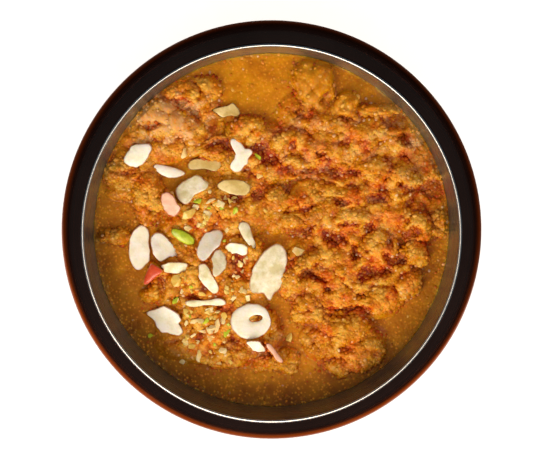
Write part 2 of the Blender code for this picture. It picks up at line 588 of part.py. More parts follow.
def lay_nut(nut, laid):
    """Rests the nut, at the tilt that leaves the least air under it, on halwa and lower nuts."""
    along, across, x, y = nut_samples(nut)
    support = surface(x, y)
    on_nut = np.zeros(len(x), bool)
    for other in laid:
        over = is_over(other, x, y, GAP)
        top = plane_height(other, x, y) + other["thickness"] + other["cup"] + GAP
        support = np.where(over, np.maximum(support, top), support)
        on_nut |= over
    least_air = math.inf
    for slope_along in NUT_SLOPES:
        for slope_across in NUT_SLOPES:
            left = support - slope_along * along - slope_across * across
            height = np.quantile(left, NUT_PRESS)
            if on_nut.any():
                height = max(height, left[on_nut].max() + GAP)
            air = np.abs(height - left).mean()
            if air < least_air:
                least_air = air
                nut.update(z=float(height), slope_along=slope_along, slope_across=slope_across)


def nut_matrix(nut):
    """The nut's place, with its own X along it and its own Z square to its underside."""
    angle = math.radians(nut["turn"])
    along = Vector((math.cos(angle), math.sin(angle), nut["slope_along"])).normalized()
    across = Vector((-math.sin(angle), math.cos(angle), nut["slope_across"]))
    up = along.cross(across).normalized()
    across = up.cross(along)
    place = Matrix((along, across, up)).transposed().to_4x4()
    place.translation = Vector((nut["x"], nut["y"], nut["z"])) * MM
    return place


def underside(nut, share, across):
    """How far the nut's underside stands over its plane: cupped along its long sides."""
    wave = NUT_WAVE * (1 + math.sin(3.5 * across + 2 * share))
    return nut["cup"] * across * across + wave


def slice_points(nut, corners):
    """Corners of the lower face and of the upper one: the middle, an inner ring and the edge."""
    points = []
    for top in (0, 1):
        points.append((0.0, 0.0, underside(nut, 0, 0) + top * nut["thickness"]))
        for share, thickness in ((NUT_MIDDLE, 1.0), (1.0, NUT_EDGE)):
            for x, y in corners:
                along, across = turned(share * x, share * y, nut["turn"])
                z = underside(nut, along / nut["length"] * 2, across / nut["width"] * 2)
                points.append((along, across, z + top * thickness * nut["thickness"]))
    return points


def slice_solid(nut, corners):
    """A thin, slightly wavy slice: a fan and a band on each face, and a band round the edge."""
    faces, sides = [], len(corners)
    face_size = 1 + 2 * sides
    for side in range(sides):
        after = (side + 1) % sides
        inner, inner_after = 1 + side, 1 + after
        outer, outer_after = inner + sides, inner_after + sides
        lower = [(0, inner_after, inner), (inner, inner_after, outer_after)]
        lower.append((inner, outer_after, outer))
        faces += lower
        faces += [tuple(corner + face_size for corner in face[::-1]) for face in lower]
        faces.append((outer, outer_after, outer_after + face_size))
        faces.append((outer, outer_after + face_size, outer + face_size))
    return slice_points(nut, corners), faces


def ring_solid(nut):
    """A round slice with an oval hole nearer to one side."""
    points, faces = [], []
    for spread, height in RING_SECTION:
        for side in range(RING_SIDES):
            angle = 2 * math.pi * side / RING_SIDES
            cos, sin = math.cos(angle), math.sin(angle)
            hole_x = RING_HOLE[0] * cos + RING_HOLE_PLACE[0]
            hole_y = RING_HOLE[1] * sin + RING_HOLE_PLACE[1]
            x = (hole_x + (cos - hole_x) * spread) * nut["length"] / 2
            y = (hole_y + (sin - hole_y) * spread) * nut["width"] / 2
            points.append((x, y, height * nut["thickness"]))
    for loop in range(len(RING_SECTION)):
        here, there = loop * RING_SIDES, (loop + 1) % len(RING_SECTION) * RING_SIDES
        for side in range(RING_SIDES):
            after = (side + 1) % RING_SIDES
            faces.append((here + side, there + side, there + after))
            faces.append((here + side, there + after, here + after))
    return points, faces


def nut_colour(name):
    if name.startswith("pistachio"):
        return (0.55, 0.62, 0.05)
    if name.startswith("red"):
        return (0.72, 0.16, 0.04)
    if name.startswith("pink"):
        return (0.78, 0.45, 0.32)
    if name.startswith(("tan", "yellow")):
        return (0.66, 0.5, 0.2)
    return (0.85, 0.78, 0.55)


def make_nuts():
    laid = []
    for name, (x, y, length, width, turn, thickness, cup) in NUTS.items():
        nut = {"x": x, "y": y, "length": length, "width": width, "turn": turn}
        nut.update(thickness=thickness, cup=cup)
        lay_nut(nut, laid)
        if name == "almond_ring":
            points, faces = ring_solid(nut)
        else:
            points, faces = slice_solid(nut, OUTLINES[name])
        made = make_object(name, points, faces, make_material(name, nut_colour(name), 0.45))
        made.matrix_world = nut_matrix(nut)
        laid.append(nut)
    return laid


# ---------------------------------------------------------------- the halwa


def pressed_surface(x, y, laid):
    """Height of the halwa with a bed under each nut."""
    z = surface(x, y)
    beds = [plane_height(nut, x, y) - GAP for nut in laid]
    for nut, bed in zip(laid, beds):
        z = np.where(is_over(nut, x, y, HEAP_MARGIN), np.maximum(z, bed), z)
    for nut, bed in zip(laid, beds):
        z = np.where(is_over(nut, x, y, BED_MARGIN), np.minimum(z, bed), z)
    return z


def ring_of(radius, corners):
    angles = 2 * math.pi * np.arange(corners) / corners
    return radius * np.cos(angles), radius * np.sin(angles)


def stitch(inner, inner_count, outer, outer_count):
    """Triangles between two rings of corners, facing up where the outer ring is the wider."""
    faces = []
    i = j = 0
    while i < inner_count or j < outer_count:
        if j < outer_count and (j + 0.5) * inner_count <= (i + 0.5) * outer_count or i == inner_count:
            after = outer + (j + 1) % outer_count
            faces.append((inner + i % inner_count, outer + j % outer_count, after))
            j += 1
        else:
            after = inner + (i + 1) % inner_count
            faces.append((inner + i % inner_count, outer + j % outer_count, after))
            i += 1
    return faces


def make_halwa_core(laid, material):
    """The mass without its chopped nuts: rings of corners over the top, then down its side."""
    middle = float(pressed_surface(np.zeros(1), np.zeros(1), laid)[0])
    points, faces = [(0.0, 0.0, middle)], []
    side = offset(liner_inside(), -SIDE_GAP)[LEVEL_CORNER::-1]
    start, count = 0, 1
    for ring in range(1, HALWA_RINGS + 1):
        x, y = ring_of(side[0][0] * ring / HALWA_RINGS, 6 * ring)
        z = pressed_surface(x, y, laid)
        if ring == HALWA_RINGS:
            z = np.minimum(z, LEVEL + EDGE_RISE)
        faces += stitch(start, count, len(points), 6 * ring)
        start, count = len(points), 6 * ring
        points += list(zip(x.tolist(), y.tolist(), z.tolist()))
    for (radius, height), corners in zip(side[1:], SIDE_CORNERS):
        x, y = ring_of(radius, corners)
        faces += stitch(start, count, len(points), corners)
        start, count = len(points), corners
        points += [(a, b, height) for a, b in zip(x.tolist(), y.tolist())]
    floor = len(points)
    points.append((0.0, 0.0, side[-1][1]))
    faces += [(start + i, floor, start + (i + 1) % count) for i in range(count)]
    return make_object("halwa", points, faces, material)


def strewn_crumbs():
    draw = np.random.default_rng(CRUMB_SEED)
    middle_x, middle_y, reach_x, reach_y = CRUMB_FIELD
    for _ in range(CRUMBS):
        distance, angle = math.sqrt(draw.random()), 2 * math.pi * draw.random()
        x = middle_x + reach_x * distance * math.cos(angle)
        y = middle_y + reach_y * distance * math.sin(angle)
        size = draw.uniform(*CRUMB_SIZES)
        yield x, y, size * draw.uniform(1.0, 1.6), size, draw.uniform(0, 180)


def make_chop(number, x, y, length, width, turn, laid):
    """One angular crumb of nut, half sunk in the halwa."""
    draw = np.random.default_rng(CRUMB_SEED + 1 + number)
    bpy.ops.mesh.primitive_ico_sphere_add(subdivisions=1, radius=0.5 * MM)
    chop = bpy.context.object
    for vertex in chop.data.vertices:
        vertex.co *= float(draw.uniform(*CHOP_JITTER))
    height = CHOP_HEIGHT * min(length, width)
    z = pressed_surface(np.array([x]), np.array([y]), laid)[0] + CHOP_LIFT * height
    lean = draw.uniform(-CHOP_TIP, CHOP_TIP, 2)
    tip = Euler((float(lean[0]), float(lean[1]), math.radians(turn)))
    place = Matrix.Translation(Vector((x, y, float(z))) * MM) @ tip.to_matrix().to_4x4()
    chop.data.transform(place @ Matrix.Diagonal((length, width, height, 1.0)))
    return chop


def clear_of_nuts(x, y, length, laid):
    here = (np.array([x]), np.array([y]))
    return not any(is_over(nut, *here, length / 2 + 2 * GAP)[0] for nut in laid)


def fuse(body, pieces):
    """Joins the pieces to the body with one Boolean union, and removes them."""
    group = bpy.data.collections.new("Chopped nuts")
    bpy.context.scene.collection.children.link(group)
    for piece in pieces:
        piece.users_collection[0].objects.unlink(piece)
        group.objects.link(piece)
    union = body.modifiers.new("Fuse", "BOOLEAN")
    union.operation = "UNION"
    union.operand_type = "COLLECTION"
    union.collection = group
    union.solver = "EXACT"
    graph = bpy.context.evaluated_depsgraph_get()
    fused = bpy.data.meshes.new_from_object(body.evaluated_get(graph))
    body.modifiers.remove(union)
    body.data = fused
    for piece in pieces:
        bpy.data.objects.remove(piece)
    bpy.data.collections.remove(group)


def make_halwa(laid):
    material = make_material("Halwa", (0.62, 0.26, 0.03), 0.35)
    core = make_halwa_core(laid, material)
    chops = []
    for number, (x, y, length, width, turn) in enumerate(CHOPS + tuple(strewn_crumbs())):
        if clear_of_nuts(x, y, length, laid):
            chops.append(make_chop(number, x, y, length, width, turn, laid))
    fuse(core, chops)
    return core


def main():
    clear_scene()
    steel = make_material("Polished steel", (0.68, 0.67, 0.65), 0.12, 1.0)
    copper = make_material("Polished copper", (0.72, 0.36, 0.22), 0.18, 1.0)
    turn_bowl_wall("steel_liner", liner_profile(), steel)
    turn_bowl_wall("copper_shell", shell_profile(), copper)
    laid = make_nuts()
    make_halwa(laid)


main()
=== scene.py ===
# %% [markdown]
# # Sooji halwa in its bowl
# Sooji halwa is coarse semolina roasted in ghee and cooked with sugar until it clumps. This lesson
# dresses a plain solid model of one filled serving bowl: polished steel inside, polished copper
# outside, crumbly halwa with sliced almonds and chopped nuts on top. First the plain model comes in.

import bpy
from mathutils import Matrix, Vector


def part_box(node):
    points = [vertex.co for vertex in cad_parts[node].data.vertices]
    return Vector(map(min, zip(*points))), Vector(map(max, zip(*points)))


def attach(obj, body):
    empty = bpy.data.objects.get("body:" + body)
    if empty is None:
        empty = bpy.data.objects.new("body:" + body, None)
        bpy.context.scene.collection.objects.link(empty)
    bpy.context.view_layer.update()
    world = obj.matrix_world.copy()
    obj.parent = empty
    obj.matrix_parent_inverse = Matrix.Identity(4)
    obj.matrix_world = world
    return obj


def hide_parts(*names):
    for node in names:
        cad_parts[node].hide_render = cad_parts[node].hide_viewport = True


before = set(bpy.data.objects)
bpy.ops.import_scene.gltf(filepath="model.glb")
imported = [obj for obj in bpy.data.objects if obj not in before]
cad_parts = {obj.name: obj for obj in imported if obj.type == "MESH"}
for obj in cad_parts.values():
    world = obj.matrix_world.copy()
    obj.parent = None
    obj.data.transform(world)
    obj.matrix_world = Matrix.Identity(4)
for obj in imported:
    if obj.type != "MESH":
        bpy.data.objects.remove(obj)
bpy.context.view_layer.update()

# %% The other modules, and the scene's unit
import math

import bmesh
import bpy
import numpy as np
from mathutils import Euler, Vector
from mathutils.bvhtree import BVHTree

MM = 0.001  # sizes below are in millimetres, and Blender's unit is the metre

# %% [markdown]
# ## Small tools
# A colour is easiest to read off as the hex value that a screen shows, but Blender mixes light in
# linear values, so one function turns the first into the second. Another adds any node with its
# settings, links and colour stops, and every shader and node group below is made with it. The last
# ones make pieces from lists of points and faces.

# %% Colours, nodes and objects


def linear(hexa):
    """A hex colour such as "#c87808" as linear red, green, blue and alpha."""
    shares = [int(hexa[i:i + 2], 16) / 255 for i in (1, 3, 5)]
    return (*[s / 12.92 if s <= 0.04045 else ((s + 0.055) / 1.055) ** 2.4 for s in shares], 1.0)


def place_object(name, data):
    """A new object in the scene that shows this mesh, lamp or camera."""
    made = bpy.data.objects.new(name, data)
    bpy.context.scene.collection.objects.link(made)
    return made


def ways_round(count):
    """Angles spaced evenly right round."""
    return 2 * math.pi * np.arange(count) / count


def add(tree, kind, settings=None, inputs=None, stops=()):
    """Adds a node. An input is a plain value, or an output socket to link from. A colour ramp
    also takes its stops, each a place and a hex colour."""
    made = tree.nodes.new(kind)
    for name, value in (settings or {}).items():
        setattr(made, name, value)
    for name, value in (inputs or {}).items():
        if isinstance(value, bpy.types.NodeSocket):
            tree.links.new(value, made.inputs[name])
        else:
            made.inputs[name].default_value = value
    points = made.color_ramp.elements if stops else ()
    while len(points) < len(stops):
        points.new(0.5)
    for point, (place, hexa) in zip(points, stops):
        point.position = place
        point.color = linear(hexa)
    return made


def new_material(name, **values):
    """A material with one Principled shader; values are set on its sockets by their names."""
    made = bpy.data.materials.new(name)
    made.use_nodes = True
    shader = made.node_tree.nodes["Principled BSDF"]
    for socket, value in values.items():
        shader.inputs[socket.replace("_", " ")].default_value = value
    return made, made.node_tree, shader


def feed(tree, shader, **outputs):
    """Links outputs to a shader's sockets by their names."""
    for socket, output in outputs.items():
        tree.links.new(output, shader.inputs[socket.replace("_", " ")])


def new_mesh(name, points, faces, material):
    """A mesh from points in millimetres."""
    mesh = bpy.data.meshes.new(name)
    mesh.from_pydata((np.asarray(points) * MM).tolist(), [], faces)
    mesh.materials.append(material)
    return mesh


def loop_faces(loops, sides, capped=True):
    """Faces between closed loops of points. Capped, the loops lie between a first and a last
    point. Otherwise the last loop joins the first."""
    faces, last = [], 1 + loops * sides
    for side in range(sides):
        after = (side + 1) % sides
        if capped:
            faces.append((0, 1 + side, 1 + after))
        for loop in range(loops - capped):
            here, there = (capped + step % loops * sides for step in (loop, loop + 1))
            faces.append((here + side, there + side, there + after, here + after))
        if capped:
            faces.append((last, last - sides + after, last - sides + side))
    return faces


def new_piece(name, points, faces, material, slot, replaces=()):
    """A smooth-shaded piece from points in millimetres, riding on the bowl."""
    mesh = new_mesh(name, points, faces, material)
    mesh.shade_smooth()
    piece = place_object(name, mesh)
    settle(piece, slot, replaces)
    return piece


def settle(piece, slot, replaces=()):
    """Puts a piece on the bowl's body and hides the plain pieces it stands for. Its slot is not used."""
    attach(piece, "root")
    if replaces:
        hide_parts(*replaces)
    print(piece.name, "has", len(piece.data.polygons), "faces")


def store(piece, name, values):
    """Keeps one number for each point of the piece, for its material to read."""
    kept = piece.data.attributes.new(name, "FLOAT", "POINT")
    kept.data.foreach_set("value", np.asarray(values, np.float32))


# %% [markdown]
# ## The camera
# The photograph was taken from almost straight above, leaning a little towards the far side. The
# mouth of the bowl shows as a circle 378.6 pixels across in a picture 541 pixels wide, which
# gives the focal length once the distance is chosen.

# %% Camera
RIM_RADIUS = 62.4
RIM_HEIGHT = 60.0
PICTURE = (541, 461)
RIM_PIXELS = 189.3  # radius of the rim in the picture
SENSOR = 36.0
CAMERA_DISTANCE = 600.0
CAMERA_LEAN = math.radians(5.5)
CAMERA_AIM = Vector((-0.33, 1.6, RIM_HEIGHT))


def make_camera():
    camera = place_object("Camera", bpy.data.cameras.new("Camera"))
    back = Vector((0, math.sin(CAMERA_LEAN), math.cos(CAMERA_LEAN)))
    camera.location = (CAMERA_AIM + CAMERA_DISTANCE * back) * MM
    camera.rotation_euler = (-CAMERA_LEAN, 0, 0)
    camera.data.sensor_width = SENSOR
    camera.data.lens = RIM_PIXELS / RIM_RADIUS * CAMERA_DISTANCE * SENSOR / PICTURE[0]
    bpy.context.scene.camera = camera
    return camera


camera = make_camera()
print("focal length in mm:", round(camera.data.lens, 1))

# %% [markdown]
# ## Light
# One soft lamp stands at the near left, about 34 degrees up, so that the near wall of the bowl
# shades the halwa under it and the crumbs throw their shadows away from us. Polished metal shows
# what surrounds it: the copper's shoulder mirrors a dark room, and its outer edge the pale floor.
# So the sky is pale to the eye and dark in mirrors, and a card that only mirrors see lies on the
# floor. It is as pale as the floor near the bowl and turns dark further out, as painted shade of
# the floor in the copper's reflection.

# %% Lamps, sky and floor
FLOOR_HALF = 1500.0
FLOOR_SINK = 0.02
FLOOR_PALE = "#f7f5f2"
SKY_SEEN, SKY_MIRRORED, SKY_FAR = "#fffaf2", "#90d0f0", "#ffdcc4"
FILL_FALL = (-0.8, 0.5)  # from the near side to the far one, where the fill light falls off
CARD_DARKEST = "#34485c"
CARD_HOLE = 110.0
CARD_DARK = 190.0  # distance from the middle of the hole where the card has turned fully dark
CARD_PLACE = (-12.0, -72.0)  # of the middle of its hole
CARD_SIDES = 64


def make_lamp(name, place, size, watts, colour="#ffffff"):
    """A square lamp at a place in millimetres, facing the middle of the bowl's mouth."""
    data = bpy.data.lights.new(name, "AREA")
    data.size = size * MM
    data.energy = watts
    data.color = linear(colour)[:3]
    lamp = place_object(name, data)
    lamp.location = Vector(place) * MM
    facing = Vector((0, 0, RIM_HEIGHT)) * MM - lamp.location
    lamp.rotation_euler = facing.to_track_quat("-Z", "Y").to_euler()
    return lamp


def light_only(lamp, pieces):
    """The lamp lights these pieces and no others."""
    group = bpy.data.collections.new(lamp.name + " lights")
    for piece in pieces:
        group.objects.link(piece)
    lamp.light_linking.receiver_collection = group


def make_sky(seen, mirrored, fill):
    """A sky with one brightness to the eye and one in mirrors, where it is cooler. As fill light
    it falls off and turns redder from the near side to the far one."""
    world = bpy.data.worlds.new("Sky")
    bpy.context.scene.world = world
    world.use_nodes = True
    tree = world.node_tree
    path = add(tree, "ShaderNodeLightPath")
    way = add(tree, "ShaderNodeTexCoord").outputs["Generated"]
    toward = add(tree, "ShaderNodeSeparateXYZ", inputs={0: way}).outputs[1]
    slant = add(tree, "ShaderNodeMapRange",
                inputs={"Value": toward, "From Min": FILL_FALL[0], "From Max": FILL_FALL[1]})
    strength, colour = fill[0], linear(SKY_SEEN)
    for share, level, tint in ((slant.outputs[0], fill[1], SKY_FAR),
                               (path.outputs["Is Glossy Ray"], mirrored, SKY_MIRRORED),
                               (path.outputs["Is Camera Ray"], seen, SKY_SEEN)):
        strength = add(tree, "ShaderNodeMix", {"data_type": "FLOAT"},
                       {"Factor": share, 2: strength, 3: level}).outputs[0]
        colour = add(tree, "ShaderNodeMix", {"data_type": "RGBA"},
                     {"Factor": share, 6: colour, 7: linear(tint)}).outputs[2]
    feed(tree, tree.nodes["Background"], Color=colour, Strength=strength)


def make_floor():
    paper, tree, shader = new_material("Matte studio paper", Roughness=0.9)
    grain = add(tree, "ShaderNodeTexNoise", inputs={"Scale": 300.0, "Detail": 4.0})
    tint = add(tree, "ShaderNodeMix", {"data_type": "RGBA"},
               {"Factor": grain.outputs["Fac"], 6: linear(FLOOR_PALE), 7: linear("#fbfaf8")})
    feed(tree, shader, Base_Color=tint.outputs[2])
    corners = [(x * FLOOR_HALF, y * FLOOR_HALF, -FLOOR_SINK)
               for x, y in ((-1, -1), (1, -1), (1, 1), (-1, 1))]
    floor = place_object("Floor", new_mesh("Floor", corners, [(0, 1, 2, 3)], paper))
    return floor


def make_dark_card():
    """A dark card just over the floor, with a hole round the bowl's foot, that only mirrors see."""
    card_shade, tree, shader = new_material("Dark card seen in mirrors", Roughness=1.0)
    middle = tuple(part * MM for part in (*CARD_PLACE, 1.0))
    place = add(tree, "ShaderNodeTexCoord").outputs["Object"]
    away = add(tree, "ShaderNodeVectorMath", {"operation": "DISTANCE"}, {0: place, 1: middle})
    fade = add(tree, "ShaderNodeMapRange",
               inputs={"Value": away.outputs["Value"], "From Min": CARD_HOLE * MM,
                       "From Max": CARD_DARK * MM})
    # painted shade: the card darkens the floor as the copper mirrors it, more so away from the bowl
    tint = add(tree, "ShaderNodeMix", {"data_type": "RGBA"},
               {"Factor": fade.outputs[0], 6: linear(FLOOR_PALE), 7: linear(CARD_DARKEST)})
    feed(tree, shader, Base_Color=tint.outputs[2])
    shader.inputs["Specular IOR Level"].default_value = 0.1
    points, faces = [], []
    for radius, (x, y) in ((CARD_HOLE, CARD_PLACE), (FLOOR_HALF, (0.0, 0.0))):
        for side in range(CARD_SIDES):
            angle = 2 * math.pi * side / CARD_SIDES
            points.append((x + radius * math.cos(angle), y + radius * math.sin(angle), 1.0))
    for side in range(CARD_SIDES):
        after = (side + 1) % CARD_SIDES
        faces.append((side, side + CARD_SIDES, after + CARD_SIDES, after))
    card = place_object("Dark card", new_mesh("Dark card", points, faces, card_shade))
    card.visible_camera = card.visible_diffuse = card.visible_shadow = card.visible_transmission = False


bpy.context.scene.view_settings.view_transform = "Standard"
make_sky(seen=1.0, mirrored=0.15, fill=(1.0, 0.3))
floor = make_floor()
make_dark_card()
key_lamp = make_lamp("Key lamp", (-240, -420, 390), 320, 3.1, "#ffefd8")
print("sky, floor, dark card and key lamp are in")

# %% [markdown]
# ## The bowl
# The bowl is two sheets of spun metal. A spun sheet is a profile turned about an axis, so it is
# modelled by turning one, with enough steps that no facet shows in its reflections. The profiles
# follow the plain model's own sizes.

# %% Profiles of the two metal walls
LINER_MOUTH = 61.95
LINER_DEPTH = 52.5
LINER_TAPER = 0.1
LINER_WALL = 0.5
LINER_ROUNDS = (2.6, 2.2)
BEAD_CENTRE = 62.4
BEAD_RADIUS = 0.545
BEAD_TUCK = 0.005  # how far its top stays under the plain model's
BEAD_DEGREES = range(200, -81, -14)  # from the inside of the wall over the top and round
SHELL_MOUTH = 62.6
SHELL_TOP = 58.55
SHELL_BELLY = 70.78
SHELL_BELLY_DROP = 14.0
SHELL_FOOT = 33.0
SHELL_WALL = 0.7
SHOULDER_ROUNDS = (2.2, 2.2)
FLANK_ROUNDS = (2.0, 2.4)
PROFILE_STEPS = 36
TURN_STEPS = 224


def liner_radius(depth):
    """Inner radius of the steel wall this far under the rim."""
    down, across = LINER_ROUNDS
    roundness = (1 - (depth / LINER_DEPTH) ** down) ** (1 / across)
    return (LINER_MOUTH - LINER_TAPER * depth) * roundness


def offset(profile, distance):
    """The profile moved square to itself, to its right as it runs."""
    moved = []
    for index, (r, z) in enumerate(profile):
        before = profile[max(index - 1, 0)]
        after = profile[min(index + 1, len(profile) - 1)]
        dr, dz = after[0] - before[0], after[1] - before[1]
        length = math.hypot(dr, dz)
        moved.append((r + distance * dz / length, z - distance * dr / length))
    return moved


def liner_profile():
    inside = [(0.0, RIM_HEIGHT - LINER_DEPTH)]
    for step in range(1, PROFILE_STEPS + 1):
        angle = math.pi / 2 * (1 - step / (PROFILE_STEPS + 1.0))
        depth = LINER_DEPTH * math.sin(angle) ** (2 / LINER_ROUNDS[0])
        inside.append((liner_radius(depth), RIM_HEIGHT - depth))
    outside = offset(inside, LINER_WALL)
    outside[0] = (0.0, inside[0][1] - LINER_WALL)
    bead = []
    for degrees in BEAD_DEGREES:
        angle = math.radians(degrees)
        z = RIM_HEIGHT - BEAD_RADIUS - BEAD_TUCK + BEAD_RADIUS * math.sin(angle)
        bead.append((BEAD_CENTRE + BEAD_RADIUS * math.cos(angle), z))
    return inside + bead + outside[::-1]


def quarter(powers):
    """Shares down and across along a quarter superellipse, from its top to its widest."""
    angles = np.linspace(0, np.pi / 2, PROFILE_STEPS // 2)
    cos, sin = np.clip(np.cos(angles), 0, 1), np.sin(angles)
    return list(zip(1 - cos ** (2 / powers[0]), sin ** (2 / powers[1])))


def shell_profile():
    belly = SHELL_TOP - SHELL_BELLY_DROP
    outside = []
    for down, across in quarter(SHOULDER_ROUNDS):
        r = SHELL_MOUTH + (SHELL_BELLY - SHELL_MOUTH) * across
        outside.append((r, SHELL_TOP - SHELL_BELLY_DROP * down))
    for down, across in quarter(FLANK_ROUNDS)[-2::-1]:
        outside.append((SHELL_FOOT + (SHELL_BELLY - SHELL_FOOT) * across, belly * down))
    inside = offset(outside, SHELL_WALL)
    inside[0] = (SHELL_MOUTH, SHELL_TOP - SHELL_WALL)
    inside[-1] = (SHELL_FOOT, SHELL_WALL)
    return [(0.0, SHELL_WALL)] + inside[::-1] + outside + [(0.0, 0.0)]


print("steel profile:", len(liner_profile()), "corners; copper:", len(shell_profile()))

# %% Turn a profile into a closed wall


def turned_wall(profile):
    """Points and faces of a profile that starts and ends on the axis, turned right round."""
    angles = ways_round(TURN_STEPS)
    points = [(0.0, 0.0, profile[0][1])]
    for r, z in profile[1:-1]:
        points += [(r * math.cos(a), r * math.sin(a), z) for a in angles]
    points.append((0.0, 0.0, profile[-1][1]))
    return points, loop_faces(len(profile) - 2, TURN_STEPS)


print("one wall:", len(turned_wall(shell_profile())[1]), "faces")

# %% [markdown]
# ## Metals
# Both metals are polished sheet. Spinning and polishing leave hair lines that run round the axis,
# far too fine to see one by one, so they are drawn about half a millimetre apart and only nudge
# the roughness. Steel is a pale cool grey. Copper is much redder, and a handled bowl carries a
# thin uneven tarnish that darkens it here and there.

# %% Steel and copper
HAIR_LINE_MM = 0.5


def hair_lines(tree, spacing_mm):
    """Noise that changes along the radius and the height, and not round the axis."""
    place = add(tree, "ShaderNodeTexCoord")
    parts = add(tree, "ShaderNodeSeparateXYZ", inputs={0: place.outputs["Object"]})
    flat = add(tree, "ShaderNodeCombineXYZ", inputs={0: parts.outputs[0], 1: parts.outputs[1]})
    radius = add(tree, "ShaderNodeVectorMath", {"operation": "LENGTH"}, {0: flat.outputs[0]})
    rings = add(tree, "ShaderNodeCombineXYZ",
                inputs={0: radius.outputs["Value"], 1: parts.outputs[2]})
    return add(tree, "ShaderNodeTexNoise",
               inputs={"Vector": rings.outputs[0], "Scale": 1 / (spacing_mm * MM),
                       "Detail": 2.0}).outputs["Fac"]


def spun_metal(name, bright, dull, grazing, roughness, spread, patch_mm, bare=1.0):
    """A polished metal whose colour wanders from bright to dull in patches of this size. A thin
    film of ghee on it is stated as a bare share under 1."""
    made, tree, shader = new_material(name, Metallic=bare, Specular_Tint=linear(grazing))
    place = add(tree, "ShaderNodeTexCoord").outputs["Object"]
    tarnish = add(tree, "ShaderNodeTexNoise",
                  inputs={"Vector": place, "Scale": 1 / (patch_mm * MM), "Detail": 5.0,
                          "Roughness": 0.6})
    tint = add(tree, "ShaderNodeMix", {"data_type": "RGBA"},
               {"Factor": tarnish.outputs["Fac"], 6: linear(bright), 7: linear(dull)})
    gloss = add(tree, "ShaderNodeMapRange",
                inputs={"Value": hair_lines(tree, HAIR_LINE_MM), "From Min": 0.3, "From Max": 0.7,
                        "To Min": roughness, "To Max": roughness + spread})
    feed(tree, shader, Base_Color=tint.outputs[2], Roughness=gloss.outputs[0])
    return made


steel = spun_metal("Polished stainless steel", "#aab0b8", "#8c9298", "#ffffff", 0.24, 0.1, 14, 0.92)
copper = spun_metal("Polished copper", "#8e5646", "#5c362c", "#dca898", 0.2, 0.1, 22)
steel_wall = new_piece("steel_wall", *turned_wall(liner_profile()), steel, "polished_steel",
                       ["steel_liner"])
copper_wall = new_piece("copper_wall", *turned_wall(shell_profile()), copper, "polished_copper",
                        ["copper_shell"])

# %% [markdown]
# ## The shape of the halwa
# The spoon has left a smooth golden mass along the wall and heaps of crumbs over it. Each heap
# is a low dome with a wandering outline. Inside it, close-packed round lumps of four sizes make
# the crumbs: the cracks between them are what makes halwa look crumbly, so the lumps are domes
# with sharp valleys. The plain model has the same clumps and hollows with the two largest sizes
# of lump, and without the small bays in the clumps' outlines.

# %% Height of the halwa
LEVEL = 46.0
CROWN = 0.9
SWELL, SWELL_SIZE = 0.5, 13.0
SWAY, SWAY_SIZE = 1.7, 6.0  # how far a clump's outline wanders, and over what length
FRAY, FRAY_SIZE = 0.5, 2.4  # the same for the smaller bays in it
CLUMP_POWER = 2.4
CLUMP_SHOULDER = 0.7
HOLLOW_SIZE, HOLLOW_SHOULDER = 1.2, 1.2
LUMPS = ((9.5, 1.6, 31), (4.2, 2.0, 5), (2.4, 0.9, 11), (1.5, 0.2, 17))  # size, rise and salt
LATTICE_TURN = 11.0  # degrees by which each size of lump lies turned, times its salt
LATTICE_SWAY = 0.3
CELL_EDGE, CELL_PLAY = 0.15, 0.7  # where in its cell a lump's middle may lie
LUMP_REACH = 0.8  # radius of a lump, in cells
LUMP_SINK = 0.6  # share of a lump's rise by which the cracks lie under the clump's own dome
SMOOTH_SHARE = 0.2  # how much of the small lumps shows in the smooth halwa
SMOOTH_SIZE = 3.0  # lumps under this size count as small
SIDE_GAP = 0.4
